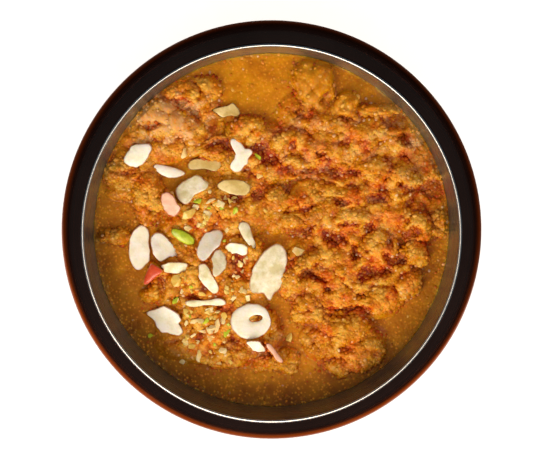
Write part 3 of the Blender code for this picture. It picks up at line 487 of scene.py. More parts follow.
# middle x, y, length, width, turn and rise of each clump
CLUMPS = (
    # the broad crumbly heaps that the clumps stand on
    (26, 29, 54, 32, -14, 2.8), (24, 7, 60, 20, 0, 2.8),
    (26, -14, 46, 32, -4, 3), (25, -37, 30, 20, -6, 2.4),
    (-4, 26, 30, 24, 0, 2.2), (-18, 8, 40, 22, 10, 2),
    (-20, -16, 42, 34, 0, 2), (-17, -36, 44, 20, 0, 1.8),
    (-34, 36, 36, 26, 10, 2.2), (-47, 20, 20, 18, 0, 1.8),
    (53, 21, 13, 42, 14, 1.5),
    # the slab at the far left and the lumps round it
    (-35.4, 37.6, 24.5, 14, -8, 4.6), (-25.4, 47, 16, 10.5, 10, 3.6),
    (-34, 47, 7, 5, 40, 2.6), (-53.5, 20, 10, 8.5, 0, 3),
    (-54.5, 25.5, 5.5, 4, 0, 2.6), (-46, 19, 7, 5.5, 0, 2.4),
    (-41, 11, 11.5, 16, 10, 3.6), (-53, -2, 11.5, 6, -12, 3),
    (-8, 33.5, 11.5, 11.5, 0, 3.4), (-19.5, 28, 15.5, 8.5, 5, 3.2),
    # the smooth slab and the folded ledge at the far side
    (14.5, 49, 13.5, 18, 12, 4.2), (25.5, 42.5, 9.5, 12, -20, 4.8),
    (34.5, 42, 15, 4.5, 0, 3.4),
    # the crumbled mass on the right
    (16.5, 36.5, 11.5, 8, -10, 4.2), (7, 30, 15.5, 10.5, 5, 4),
    (17.5, 27, 17, 8.5, -8, 4.4), (10, 21.5, 13.5, 8, 0, 3.8),
    (30, 33.5, 11.5, 9.5, 0, 4.2), (41, 32, 11.5, 10, -30, 4),
    (34, 21, 15, 11, 0, 4.6), (44.5, 17, 14, 11.5, -25, 5),
    (27, 11.5, 16, 8, 5, 3.8), (4.5, 10.5, 12, 8, 0, 3.2),
    (9.5, 5, 17, 9.5, 0, 4.2), (27, 4.5, 17, 7.5, 0, 4.4),
    (41.5, 6.5, 12, 6.5, 0, 3.4), (50, 1.5, 10, 10, 0, 4.8),
    (56.5, 3, 7.5, 10, 0, 3.2), (48, -8, 8, 11, 0, 4.6),
    (36.5, -5, 15.5, 12, -10, 4.8), (10.5, -12.5, 22, 8.5, 52, 4.6),
    (22.5, -14, 15, 10, 0, 3.6), (35, -23, 21.5, 8, 6, 5),
    (46, -19, 8, 10, 0, 4.2), (13, -26, 12, 11.5, 0, 3.8),
    (25, -33, 19, 10.5, 0, 4.8), (31, -41.5, 16, 11.5, -8, 4),
    (22.5, -45.5, 10, 8, 0, 2.8),
    # the lower crumbs that carry the nuts on the left
    (-16.5, 7, 20, 13.5, 0, 2.6), (-10.5, -8.5, 13.5, 17, 0, 3),
    (-25.5, -15, 20, 13.5, 0, 2.8), (-40, -20, 8, 10, -30, 2.6),
    (-22.5, -30.5, 23.5, 17, 0, 2.8), (-4.5, -33.5, 17, 15, 0, 3),
    (-16.5, -42, 19, 8.5, 0, 2.6), (1, -44, 17, 8, 0, 2.2),
)

# middle x, y, length, width and turn of each hollow between the clumps, and the share of their
# height that it takes away
HOLLOWS = (
    (-2.2, 26.3, 10.1, 9.3, 0, 0.9), (16, 19.5, 30.2, 5, -4, 0.95),
    (4.9, 15.5, 7, 3.5, 0, 0.6), (53.7, 14.5, 22.5, 5.4, 2, 0.95),
    (47, 9.4, 7.7, 4.6, 20, 0.8), (21.7, -3, 9.3, 5.4, -20, 0.95),
    (27.8, -7.1, 5.4, 7, 0, 0.85), (9.9, 0.3, 9.3, 4.6, 20, 0.85),
    (14, -14.8, 10.8, 4.6, 0, 0.9), (34.2, -13.8, 15.5, 6.2, 15, 0.95),
    (41.6, -8.8, 7.7, 5, 0, 0.9), (48, -0.3, 7, 5, 0, 0.8),
    (32.2, 1.7, 5.4, 4.6, 0, 0.7), (22.7, 10.8, 8.5, 3.5, 0, 0.6),
    (35.5, 11.8, 7.7, 3.5, 0, 0.6), (-4.2, 11.1, 7.7, 5, 15, 0.8),
    (38.9, 37.4, 7, 3.5, -20, 0.6), (44.6, 31.6, 6.2, 5.4, 0, 0.75),
    (25.4, -25.6, 17.8, 2.7, 0, 0.9), (18.7, 43.8, 5.4, 3.9, 0, 0.6),
    (37.2, -32.7, 6.2, 7.7, 10, 0.8), (3.5, -28.6, 7, 10.8, 0, 0.85),
    (-6.2, 41.7, 7, 7.7, 0, 0.7), (3.2, 45.8, 7, 3.5, 0, 0.6),
    (9.9, 8.7, 6.2, 3.1, 10, 0.5), (16.7, 25.6, 4.6, 3.1, 0, 0.5),
    (25.1, 28.9, 3.9, 4.6, 0, 0.4), (6.6, 28.9, 3.9, 5.4, 0, 0.45),
    (23.4, 37.4, 3.9, 3.9, 0, 0.4), (9.9, 39.7, 3.5, 4.6, 0, 0.4),
    (40.2, -3, 3.9, 3.9, 0, 0.6), (25.1, 2.7, 7, 3.1, 15, 0.5),
    (20, -18.9, 4.6, 3.1, 0, 0.5), (30.1, -21.6, 5.4, 2.3, 0, 0.4),
    (13.3, -33.3, 4.6, 3.9, 0, 0.4), (25.1, -39.1, 6.2, 3.1, 0, 0.4),
    (-29.5, 44.4, 9.3, 3.5, 0, 0.8), (-25.4, 41.7, 4.6, 6.2, 30, 0.8),
    (-22.1, 54.9, 9.3, 5.4, 0, 0.8), (-20, 36.7, 5.4, 7, 0, 0.8),
    (-17, 29.3, 12.4, 4.3, 0, 0.85), (-32.2, 18.5, 9.3, 5, 30, 0.85),
    (-51.3, 5, 15.5, 3.1, -5, 0.85), (-37.2, 4.7, 9.3, 4.6, 0, 0.85),
    (-11.6, 10.1, 9.3, 3.9, 0, 0.7), (-10.9, -11.5, 9.3, 11.6, 0, 0.8),
    (-37.2, -18.5, 4.6, 8.5, 0, 0.85), (-22.7, -16.2, 5.4, 7.7, 0, 0.6),
    (-40.6, 35.7, 11.6, 2.3, 0, 0.4), (-48, 19.5, 7.7, 3.9, 0, 0.5),
    (-9.3, 20.5, 6.2, 3.5, 0, 0.6), (-27.1, -21.6, 6.2, 3.5, 0, 0.6),
    (-17.7, -24.9, 3.9, 5.4, 0, 0.6), (-33.8, -36.7, 7.7, 3.1, 0, 0.4),
    (-23.7, -36.7, 3.9, 5.4, 0, 0.5), (-5.2, -41.8, 7.7, 3.1, 0, 0.5),
    (-13.6, -35, 5.4, 3.1, 0, 0.4),
)


# middle x, y, length, width, turn and strength of each slab whose top is smooth
SMOOTH_PLACES = (
    (14.5, 50, 13, 19, 12, 1), (25, 43, 9, 11, -20, 0.8),
    (34.5, 43, 16, 6, 0, 0.7), (-36, 38, 19, 11, -8, 0.8),
    (31, -34.5, 16, 6, 0, 0.5),
)

# middle x, y, length, width, turn and strength of each place where the halwa is pale and dull; the
# last two, by the far right wall, are a painted reflection of the wall
PALE_AND_REFLECTION_PLACES = (
    (-36, 38, 24, 15, -8, 2), (-42, 30, 10, 9, 0, 1.2),
    (24, 32, 40, 16, -10, 0.3), (12, 24, 22, 12, 0, 0.3),
    (40, 22, 22, 14, 0, 0.2), (27, 8, 26, 10, 0, 0.2),
    (40, -4, 16, 10, 0, 0.2), (-4, -40, 30, 12, 0, 0.25),
    # painted reflection of the far right wall on the halwa
    (51, 32, 12, 28, 28, 1.1), (42, 44, 22, 10, -42, 1.1),
)


# direction in degrees of the wall whose shade is painted on the halwa, where the painted shade
# starts, its reach and strength
NEAR_WALL_SHADE = (-108.0, 45.0, 15.0, 0.85)


def painted_wall_shade(x, y):
    """How dark the painted shade of the near wall makes the halwa, from 0 to 1."""
    direction, start, reach, strength = NEAR_WALL_SHADE
    toward = 0.35 + 0.65 * np.cos(np.arctan2(y, x) - math.radians(direction))
    depth = np.clip((np.hypot(x, y) + 1.5 * sway(x, y, 7.0, 71) - start) / reach, 0, 1)
    return strength * np.clip(toward, 0, 1) * depth ** 1.5


def cell_value(column, row, salt):
    """A fixed number from 0 to 1 for each cell of a lattice."""
    wave = np.sin(column * 127.1 + row * 311.7 + salt * 74.7) * 43758.5453
    return wave - np.floor(wave)


def sway(x, y, size, salt):
    """Smooth noise from -1 to 1 that changes over this many millimetres."""
    column, row = np.floor(x / size), np.floor(y / size)
    across, along = x / size - column, y / size - row
    across = across * across * (3 - 2 * across)
    along = along * along * (3 - 2 * along)
    near = cell_value(column, row, salt) * (1 - across)
    near += cell_value(column + 1, row, salt) * across
    far = cell_value(column, row + 1, salt) * (1 - across)
    far += cell_value(column + 1, row + 1, salt) * across
    return 2 * (near * (1 - along) + far * along) - 1


def turned(x, y, angle):
    """Coordinates along and across a thing that lies turned by this many degrees."""
    cos, sin = math.cos(math.radians(angle)), math.sin(math.radians(angle))
    return x * cos + y * sin, y * cos - x * sin


def crags(x, y, size, salt):
    """Close-packed round lumps, 0 in the cracks between them and 1 on their tops."""
    x, y = turned(x, y, LATTICE_TURN * salt)
    stray_x = LATTICE_SWAY * size * sway(x, y, size, salt + 2)
    stray_y = LATTICE_SWAY * size * sway(x, y, size, salt + 3)
    x, y = x + stray_x, y + stray_y
    column, row = np.floor(x / size), np.floor(y / size)
    nearest = np.full(np.shape(x), 9.0)
    for i in (-1, 0, 1):
        for j in (-1, 0, 1):
            lump_x = column + i + CELL_EDGE + CELL_PLAY * cell_value(column + i, row + j, salt)
            lump_y = row + j + CELL_EDGE + CELL_PLAY * cell_value(column + i, row + j, salt + 1)
            nearest = np.minimum(nearest, np.hypot(x / size - lump_x, y / size - lump_y))
    return np.sqrt(np.clip(1 - (nearest / LUMP_REACH) ** 2, 0, 1))


def clump_rise(x, y, clump):
    """Height of one clump's flat-topped dome."""
    middle_x, middle_y, length, width, turn, height = clump
    along, across = turned(x - middle_x, y - middle_y, turn)
    reach = np.abs(2 * along / length) ** CLUMP_POWER + np.abs(2 * across / width) ** CLUMP_POWER
    return height * np.clip(1 - reach ** (3 / CLUMP_POWER), 0, 1) ** CLUMP_SHOULDER


def hollow_share(x, y, hollow):
    """How much of the clumps' height one hollow takes away."""
    middle_x, middle_y, length, width, turn, share = hollow
    along, across = turned(x - middle_x, y - middle_y, turn)
    reach = (2 * along / length) ** 2 + (2 * across / width) ** 2
    return share * np.clip(HOLLOW_SIZE - reach, 0, 1) ** HOLLOW_SHOULDER


def heaped(x, y):
    """How high the clumps stand, how crumbly the halwa is and how hollow, both from 0 to 1."""
    wandered_x = x + SWAY * sway(x, y, SWAY_SIZE, 1) + FRAY * sway(x, y, FRAY_SIZE, 21)
    wandered_y = y + SWAY * sway(x, y, SWAY_SIZE, 2) + FRAY * sway(x, y, FRAY_SIZE, 22)
    rise = np.zeros(np.shape(x))
    for clump in CLUMPS:
        rise = np.maximum(rise, clump_rise(wandered_x, wandered_y, clump))
    crumbly = np.clip(rise / 2, 0, 1)
    taken = np.zeros(np.shape(x))
    for hollow in HOLLOWS:
        taken = np.maximum(taken, hollow_share(wandered_x, wandered_y, hollow))
    return rise * (1 - taken), crumbly, taken


def patches(places, x, y):
    """From 0 to 1, how strongly these places show at a point."""
    total = np.zeros(np.shape(x))
    for middle_x, middle_y, length, width, turn, strength in places:
        along, across = turned(x + 2 * sway(x, y, 4.0, 61) - middle_x, y - middle_y, turn)
        reach = (2 * along / length) ** 2 + (2 * across / width) ** 2
        total = np.maximum(total, strength * np.exp(-0.7 * reach ** 1.5))
    return total


def surface(x, y):
    """Height of the halwa before any nut is pressed into it."""
    z = LEVEL + CROWN * (1 - (np.hypot(x, y) / LINER_MOUTH) ** 2)
    z += SWELL * sway(x, y, SWELL_SIZE, 3)
    rise, crumbly, _ = heaped(x, y)
    z += rise
    fine = np.maximum(crumbly * (1 - patches(SMOOTH_PLACES, x, y)), SMOOTH_SHARE)
    for size, height, salt in LUMPS:
        share = fine if size < SMOOTH_SIZE else crumbly
        z += height * share * (crags(x, y, size, salt) - LUMP_SINK)
    return z


print("height at the middle:", surface(np.zeros(1), np.zeros(1)))

# %% [markdown]
# ## Nuts press into the halwa
# A nut that was dropped on warm halwa sinks in a little. A ray sent straight up from inside the
# bowl finds the underside of the nut over a point, and the halwa there is set just under it.

# %% Find the nuts over a point
NUT_NODES = sorted(set(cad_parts) - {"steel_liner", "copper_shell", "halwa"})
NUT_SINK = 0.05  # how far the halwa stays under a nut
BELOW, ABOVE = 30.0, 90.0  # heights from which rays start


def node_tree_of(name):
    """A search tree of one plain piece, in millimetres."""
    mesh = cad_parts[name].data
    points = [vertex.co / MM for vertex in mesh.vertices]
    return BVHTree.FromPolygons(points, [tuple(face.vertices) for face in mesh.polygons])


NUT_TREES = {name: node_tree_of(name) for name in NUT_NODES}


def nut_box(name):
    low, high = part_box(name)
    return low.x / MM, high.x / MM, low.y / MM, high.y / MM


def underside(tree, x, y):
    """The lowest point of a plain piece over this place, or None beside the piece."""
    return tree.ray_cast(Vector((x, y, BELOW)), Vector((0, 0, 1)))[0]


def between_faces(tree, x, y):
    """Middle height and thickness of a plain piece over this place, or None beside it."""
    under = underside(tree, x, y)
    over = tree.ray_cast(Vector((x, y, ABOVE)), Vector((0, 0, -1)))[0]
    return ((under.z + over.z) / 2, over.z - under.z) if under and over else None


def nut_hits(x, y):
    """For each point that a nut covers, its number and the place on the nut's underside."""
    for name, tree in NUT_TREES.items():
        left, right, near, far = nut_box(name)
        for i in np.flatnonzero((x > left) & (x < right) & (y > near) & (y < far)):
            hit = underside(tree, x[i], y[i])
            if hit:
                yield i, hit


def under_nuts(x, y, z):
    """The halwa's heights with a bed under each nut."""
    z = z.copy()
    for i, hit in nut_hits(x, y):
        z[i] = hit.z - NUT_SINK
    return z


print(len(NUT_TREES), "nuts lie on the halwa")

# %% [markdown]
# ## One fine mesh for the halwa
# Rings of points from the middle to the wall, a third of a millimetre apart, are fine enough for
# every lump. Each ring has six points more than the one inside it, so the triangles are all about
# the same size. The mesh also keeps some numbers for each point, such as how deep it lies in a
# crack and how crumbly the halwa is there. The colour follows them.

# %% Build the halwa
HALWA_RINGS = 174
EDGE_RISE = 0.6
EDGE_CLING = 0.7  # how far the film of halwa climbs the wall
CLING_REACH = 0.8
WALL_BAND = 2.0
WALL_FILM = -0.05  # the halwa's edge reaches this far into the wall
WALL_CORNER_DEPTHS = (26.0, 36.0, 43.4, 48.4, 51.4)
MASS_SIDES = 60  # of the hidden mass under the top
MASS_TUCK, MASS_LIFT = 0.1, 0.2  # how far it stays inside the plain one


def stitch(inner, inner_count, outer, outer_count):
    """Triangles between two rings of corners, facing up where the outer ring is the wider."""
    faces = []
    i = j = 0
    while i < inner_count or j < outer_count:
        a, b = inner + i % inner_count, outer + j % outer_count
        if i == inner_count or j < outer_count and (j + 0.5) * inner_count <= (i + 0.5) * outer_count:
            faces.append((a, b, outer + (j + 1) % outer_count))
            j += 1
        else:
            faces.append((a, b, inner + (i + 1) % inner_count))
            i += 1
    return faces


def ring_points(radius, count, z):
    angles = ways_round(count)
    return np.stack([radius * np.cos(angles), radius * np.sin(angles), np.full(count, z)], axis=1)


def halwa_mesh():
    edge = liner_radius(RIM_HEIGHT - LEVEL - EDGE_RISE) - WALL_FILM
    counts = [1] + [6 * ring for ring in range(1, HALWA_RINGS + 1)]
    rings = [ring_points(edge * i / HALWA_RINGS, count, 0.0) for i, count in enumerate(counts)]
    top = np.concatenate(rings)
    x, y = top[:, 0], top[:, 1]
    z = surface(x, y)
    from_wall = edge - np.hypot(x, y)
    cling = EDGE_CLING * (0.7 + 0.3 * sway(x, y, 3.0, 41)) * np.exp(-from_wall / CLING_REACH)
    near_wall = np.clip(1 - from_wall / WALL_BAND, 0, 1)
    z = z * (1 - near_wall) + np.minimum(z, LEVEL + EDGE_RISE) * near_wall + cling
    top[:, 2] = under_nuts(x, y, z)
    starts = np.concatenate([[0], np.cumsum(counts)]).tolist()
    faces = []
    for ring in range(HALWA_RINGS):
        faces += stitch(starts[ring], counts[ring], starts[ring + 1], counts[ring + 1])
    points, start, count = [top], starts[HALWA_RINGS], counts[-1]
    for depth in WALL_CORNER_DEPTHS:
        lower = starts[-1] + sum(len(p) for p in points[1:])
        radius = liner_radius(depth) - SIDE_GAP - MASS_TUCK
        points.append(ring_points(radius, MASS_SIDES, RIM_HEIGHT - depth + MASS_LIFT))
        faces += stitch(start, count, lower, MASS_SIDES)
        start, count = lower, MASS_SIDES
    faces.append(tuple(range(start + count - 1, start - 1, -1)))
    return np.concatenate(points), faces, starts[-1]


halwa_points, halwa_faces, top_count = halwa_mesh()
print("halwa:", len(halwa_points), "points", len(halwa_faces), "faces")

# %% Measure cracks and crests
GRID = 0.3
GRID_HALF = 62.0
SKY_WAYS = 12
SKY_REACHES = (2, 4, 7, 11, 16)  # in grid steps
SMALL_BLUR, LARGE_BLUR, CRUMB_BLUR = 0.7, 2.6, 2.4


def blurred(field, reach_mm):
    """The field smoothed over this many millimetres."""
    waves = np.fft.fftfreq(len(field), GRID)
    fall = np.exp(-2 * (math.pi * reach_mm * waves) ** 2)
    return np.fft.ifft2(np.fft.fft2(field) * fall[:, None] * fall[None, :]).real


def read_off(field, x, y):
    """The field's value at points in millimetres."""
    column = np.clip((x + GRID_HALF) / GRID, 0, len(field) - 2)
    row = np.clip((y + GRID_HALF) / GRID, 0, len(field) - 2)
    i, j = column.astype(int), row.astype(int)
    u, v = column - i, row - j
    near = field[j, i] * (1 - u) + field[j, i + 1] * u
    far = field[j + 1, i] * (1 - u) + field[j + 1, i + 1] * u
    return near * (1 - v) + far * v


def openness(height):
    """The share of the sky that each place of the grid sees over the lumps around it."""
    seen = np.zeros(height.shape)
    for way in range(SKY_WAYS):
        angle = 2 * math.pi * way / SKY_WAYS
        horizon = np.zeros(height.shape)
        for reach in SKY_REACHES:
            across, along = round(reach * math.cos(angle)), round(reach * math.sin(angle))
            there = np.roll(height, (-along, -across), axis=(0, 1))
            horizon = np.maximum(horizon, (there - height) / (GRID * math.hypot(across, along)))
        seen += 1 / (1 + horizon ** 2)
    return seen / SKY_WAYS


def relief_maps():
    """Small and large relief, open sky, crumbliness and hollowness on a grid over the bowl."""
    side = np.arange(-GRID_HALF, GRID_HALF + GRID, GRID)
    x, y = np.meshgrid(side, side)
    height = surface(x, y)
    small = height - blurred(height, SMALL_BLUR)
    large = height - blurred(height, LARGE_BLUR)
    _, crumbly, taken = heaped(x, y)
    crumbs = blurred(crumbly * (1 - patches(SMOOTH_PLACES, x, y)), CRUMB_BLUR)
    return small, large, openness(height), crumbs, crumbly * taken


small_relief, large_relief, open_sky, crumbliness, hollowness = relief_maps()
print("spread of the small and the large relief, mm:",
      round(float(small_relief.std()), 2), round(float(large_relief.std()), 2))

# %% [markdown]
# ## What halwa looks like
# Semolina grains swell to clear amber beads about a millimetre across. Light goes in, scatters and
# comes out deeper in colour. Ghee wets it all: a thin clear coat with small sharp glints. The shader
# is subsurface scattering under a coat, and a ramp over the crack-and-crest number gives the colour:
# it paints shade into cracks and hollows as dark red-brown, and light onto crests as yellow-orange.
# Drained places are pale, and two pale places by the far right wall are a painted reflection of
# that wall. Pale specks on the grains are painted glints, and along the near wall the halwa is
# painted a deep brown as the wall's shade.

# %% Halwa material
# a pale speck is a painted glint on a grain of the halwa
GRAIN_MM, DIMPLE_MM = 1.1, 1.2  # from one pale speck or one dimple to the next
# colour of the painted shade along the near wall
PALE = "#e0b078"
WALL_SHADE_COLOUR = "#4c3014"
# colours of the crumbs, and of the grains on them, from the bottom of a crack to a crest: painted
# shade in the cracks and painted light on the crests
CRUMB_SHADE_STOPS = ((0.0, "#841c02"), (0.25, "#a84200"), (0.5, "#be6e00"), (0.75, "#cc8600"),
               (1.0, "#e2ac40"))
GRAIN_SHADE_STOPS = ((0.0, "#842002"), (0.25, "#aa4600"), (0.5, "#c07200"), (0.75, "#ce8a00"),
               (1.0, "#e4b048"))
SMOOTH_STOPS = ((0.3, "#ac6600"), (0.5, "#c47e00"), (0.7, "#d49200"))


def mottled(tree, size_mm, low, high, to_low=0.0, to_high=1.0, detail=3.0, roughness=0.5):
    """Blotches of about this size. The run of their noise from low to high is spread over
    another run."""
    place = add(tree, "ShaderNodeTexCoord").outputs["Object"]
    noise = add(tree, "ShaderNodeTexNoise",
                inputs={"Vector": place, "Scale": 1 / (size_mm * MM), "Detail": detail,
                        "Roughness": roughness})
    return add(tree, "ShaderNodeMapRange",
               inputs={"Value": noise.outputs["Fac"], "From Min": low, "From Max": high,
                       "To Min": to_low, "To Max": to_high}).outputs[0]


def pale_share(tree):
    """How much of the pale colour shows, from blotches and from the pale places."""
    placed = add(tree, "ShaderNodeAttribute", {"attribute_name": "pale"}).outputs["Fac"]
    more = add(tree, "ShaderNodeMath", {"operation": "ADD"}, {0: placed, 1: 0.12})
    return add(tree, "ShaderNodeMath", {"operation": "MULTIPLY", "use_clamp": True},
               {0: mottled(tree, 3.4, 0.5, 0.64, detail=2.0), 1: more.outputs[0]}).outputs[0]


def blotched(tree):
    """The relief number, raised or lowered in blotches as wide as a clump of crumbs. It paints shade in the
    cracks and light on the crests.
    """
    relief = add(tree, "ShaderNodeAttribute", {"attribute_name": "relief"}).outputs["Fac"]
    shift = mottled(tree, 5.0, 0.38, 0.62, -0.28, 0.28, detail=1.5)
    return add(tree, "ShaderNodeMath", {"operation": "MULTIPLY_ADD", "use_clamp": True},
               {0: relief, 1: 0.8, 2: shift}).outputs[0]


def made_vivid(tree, colour, tint):
    """The colour, made stronger in blotches."""
    share = mottled(tree, 7.0, 0.5, 0.62, 0.0, 0.6)
    return add(tree, "ShaderNodeMix", {"data_type": "RGBA", "blend_type": "SOFT_LIGHT"},
               {"Factor": share, 6: colour, 7: linear(tint)}).outputs[2]


def halwa_material():
    made, tree, shader = new_material(
        "Semolina cooked in ghee", IOR=1.45, Specular_IOR_Level=0.25, Subsurface_Weight=0.9,
        Coat_Weight=0.05, Coat_Roughness=0.2, Coat_IOR=1.46)
    shader.inputs["Subsurface Radius"].default_value = (1.0, 0.5, 0.15)
    place = add(tree, "ShaderNodeTexCoord").outputs["Object"]
    crumbly, pale, wall_shade = (add(tree, "ShaderNodeAttribute", {"attribute_name": name}).outputs["Fac"]
                          for name in ("crumbly", "pale", "painted_wall_shade"))
    grain, dimple = (add(tree, "ShaderNodeTexVoronoi",
                         inputs={"Vector": place, "Scale": 1 / (size * MM)}).outputs["Distance"]
                     for size in (GRAIN_MM, DIMPLE_MM))
    crumbs = add(tree, "ShaderNodeValToRGB", inputs={"Fac": blotched(tree)}, stops=CRUMB_SHADE_STOPS)
    drained = add(tree, "ShaderNodeMix", {"data_type": "RGBA"},
                  {"Factor": pale_share(tree), 6: crumbs.outputs[0], 7: linear(PALE)})
    toned = made_vivid(tree, drained.outputs[2], "#d47400")
    soft = add(tree, "ShaderNodeTexNoise",
               inputs={"Vector": place, "Scale": 1 / (6.0 * MM), "Detail": 4.0})
    smooth = add(tree, "ShaderNodeValToRGB", inputs={"Fac": soft.outputs["Fac"]}, stops=SMOOTH_STOPS)
    # strong pale places turn dull; by the far right wall this is a painted reflection
    dull = add(tree, "ShaderNodeMapRange",
               inputs={"Value": pale, "From Min": 0.5, "From Max": 1.6, "To Max": 0.6})
    # painted glints: pale specks on the grains, shown in blotches
    glint_cells = add(tree, "ShaderNodeMapRange",
                 inputs={"Value": grain, "From Min": 0.1, "From Max": 0.45, "To Min": 0.75,
                         "To Max": 0.0})
    painted_glints = add(tree, "ShaderNodeMath", {"operation": "MULTIPLY"},
                {0: glint_cells.outputs[0], 1: mottled(tree, 1.6, 0.36, 0.5, detail=2.0)})
    colour = smooth.outputs[0]
    for share, layer in ((dull.outputs[0], linear(PALE)), (crumbly, toned), (wall_shade, linear(WALL_SHADE_COLOUR)),
                         (painted_glints.outputs[0], linear("#eca42c"))):
        colour = add(tree, "ShaderNodeMix", {"data_type": "RGBA"},
                     {"Factor": share, 6: colour, 7: layer}).outputs[2]
    depth = add(tree, "ShaderNodeMapRange",
                inputs={"Value": crumbly, "To Min": 3.0 * MM, "To Max": 0.5 * MM})
    bump = add(tree, "ShaderNodeBump",
               inputs={"Height": dimple, "Strength": 0.5, "Distance": -0.3 * MM})
    feed(tree, shader, Base_Color=colour, Roughness=mottled(tree, 0.9, 0.35, 0.65, 0.3, 0.5),
         Subsurface_Scale=depth.outputs[0], Normal=bump.outputs[0])
    return made


halwa_finish = halwa_material()
halwa_piece = new_piece("halwa_mass", halwa_points, halwa_faces, halwa_finish, "halwa", ["halwa"])
x, y = halwa_points[:, 0], halwa_points[:, 1]
# painted light and shade: the number is higher where the halwa sees more open sky, on crests, and
# lower in cracks and hollows
relief = 1.2 * (read_off(open_sky, x, y) - 0.3) + read_off(small_relief, x, y) / 9
relief += read_off(large_relief, x, y) / 4 - 0.6 * np.clip(1.5 * read_off(hollowness, x, y), 0, 1) + 0.1
store(halwa_piece, "relief", np.clip(relief, 0, 1))
store(halwa_piece, "crumbly", read_off(crumbliness, x, y))
store(halwa_piece, "pale", patches(PALE_AND_REFLECTION_PLACES, x, y))
# painted shade of the near wall
store(halwa_piece, "painted_wall_shade", painted_wall_shade(x, y))

# %% [markdown]
# ## Sliced nuts
# A sliced almond is a millimetre or two thick, cupped, with a crisp edge where the brown skin
# shows as a thin line. The plain model has each slice as a simple solid. From it come the slice's
# outline, found by feeling for its edge in every direction, and its height, a smooth curved
# sheet fitted to it. A new slice is built on these with many more points and an uneven edge.

# %% Measure a slice of the plain model
SLICE_SIDES = 72


def outline_of(tree, centre, reach):
    """Distance from the centre to the slice's edge in every direction."""
    found = []
    for side in range(SLICE_SIDES):
        angle = 2 * math.pi * side / SLICE_SIDES
        inside, outside = 0.0, reach
        for _ in range(12):
            middle = (inside + outside) / 2
            x, y = centre[0] + middle * math.cos(angle), centre[1] + middle * math.sin(angle)
            if underside(tree, x, y):
                inside = middle
            else:
                outside = middle
        found.append(inside)
    return np.array(found)


def round_off(values, reach):
    """A closed run of values smoothed over this many neighbours each way."""
    weights = np.exp(-0.5 * (np.arange(-3 * reach, 3 * reach + 1) / reach) ** 2)
    shifted = [w * np.roll(values, k) for k, w in zip(range(-3 * reach, 3 * reach + 1), weights)]
    return sum(shifted) / weights.sum()


def sheet_terms(x, y):
    """What a curved sheet's height is made of: its level, two slopes and three bends."""
    return np.stack([np.ones_like(x), x, y, x * x, x * y, y * y], axis=1)


def fitted_sheet(tree, centre, edge):
    """Terms of the middle height of the slice, and its thickness."""
    places, middles, depths = [], [], []
    for side in range(0, SLICE_SIDES, 3):
        angle = 2 * math.pi * side / SLICE_SIDES
        for share in (0.15, 0.4, 0.65, 0.85):
            dx, dy = share * edge[side] * math.cos(angle), share * edge[side] * math.sin(angle)
            found = between_faces(tree, centre[0] + dx, centre[1] + dy)
            if found:
                places.append((dx, dy))
                middles.append(found[0])
                depths.append(found[1])
    dx, dy = np.array(places).T
    terms = np.linalg.lstsq(sheet_terms(dx, dy), np.array(middles), rcond=None)[0]
    return terms, float(np.median(depths))


def measure(name):
    """Centre, edge, sheet and thickness of one slice of the plain model."""
    tree = NUT_TREES[name]
    left, right, near, far = nut_box(name)
    corners = np.array([vertex.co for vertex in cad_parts[name].data.vertices]) / MM
    centre = tuple(corners.mean(axis=0)[:2])
    if name == "almond_ring":  # its middle lies beside the hole
        return {"centre": centre, "edge": None}
    edge = outline_of(tree, centre, max(right - left, far - near))
    terms, thickness = fitted_sheet(tree, centre, edge)
    return {"centre": centre, "edge": round_off(edge, 1), "terms": terms, "thickness": thickness}


slices = {name: measure(name) for name in NUT_NODES}
print({name: round(s["thickness"], 1) for name, s in slices.items() if s["edge"] is not None})

# %% [markdown]
# ## New slices with a fine edge
# Every slice is a stack of loops: from the middle out over the upper face, round the edge, and back
# under. The edge wavers a little, as a cut nut's does, and broken chips waver more. The last loops
# carry a number that says how near they are to the edge, and the skin's colour follows it.

# %% Build the slices
LOOP_SHARES = (0.3, 0.55, 0.75, 0.88, 0.96, 1.0)
EDGE_THICKNESS = 0.55  # share of the thickness at the edge
EDGE_BULGE = 0.12
NUT_WARP, NUT_WARP_SIZE = 0.2, 2.6
RING_NUT = {"place": (-7.0, -30.0), "half": (6.85, 5.85), "turn": 10.0, "hole": (0.34, 0.20),
            "hole_place": (0.28, 0.12)}
BROKEN = ("chip", "chunk", "flake", "wedge", "flat", "side", "tail")


def uneven(draw, strength, waves=(3, 16)):
    """A closed run of factors about 1 that waver by about this strength."""
    angles = ways_round(SLICE_SIDES)
    total = np.zeros(SLICE_SIDES)
    for wave in range(*waves):
        total += draw.normal() / wave ** 0.7 * np.cos(wave * angles + draw.uniform(0, 6.3))
    return 1 + strength * total


def slice_shape(name, measured, salt):
    """Points, faces and edge shares of one slice."""
    draw = np.random.default_rng(400 + salt)
    broken = any(word in name for word in BROKEN)
    edge = measured["edge"] * uneven(draw, 0.03 if broken else 0.018)
    angles = ways_round(SLICE_SIDES)
    upper = [(share, 0.5, 0.0) for share in (0.0, *LOOP_SHARES)]
    lower = [(share, -0.5, 0.0) for share in (*LOOP_SHARES[::-1], 0.0)]
    points, rims = [], []
    for share, side, bulge in upper + [(1.0, 0.0, EDGE_BULGE)] + lower:
        dx, dy = (share * edge + bulge) * np.cos(angles), (share * edge + bulge) * np.sin(angles)
        z = sheet_terms(dx, dy) @ measured["terms"]
        thickness = EDGE_THICKNESS + (1 - EDGE_THICKNESS) * math.sqrt(1 - share ** 4)
        z += side * measured["thickness"] * thickness + NUT_WARP * sway(dx, dy, NUT_WARP_SIZE, 50 + salt)
        loop = np.stack([measured["centre"][0] + dx, measured["centre"][1] + dy, z], axis=1)
        loop = loop[:1] if share == 0 else loop
        points.append(loop)
        rims += [1.0 if side == 0 else max(0.0, 8 * share - 7)] * len(loop)
    return np.concatenate(points), loop_faces(2 * len(LOOP_SHARES) + 1, SLICE_SIDES), rims


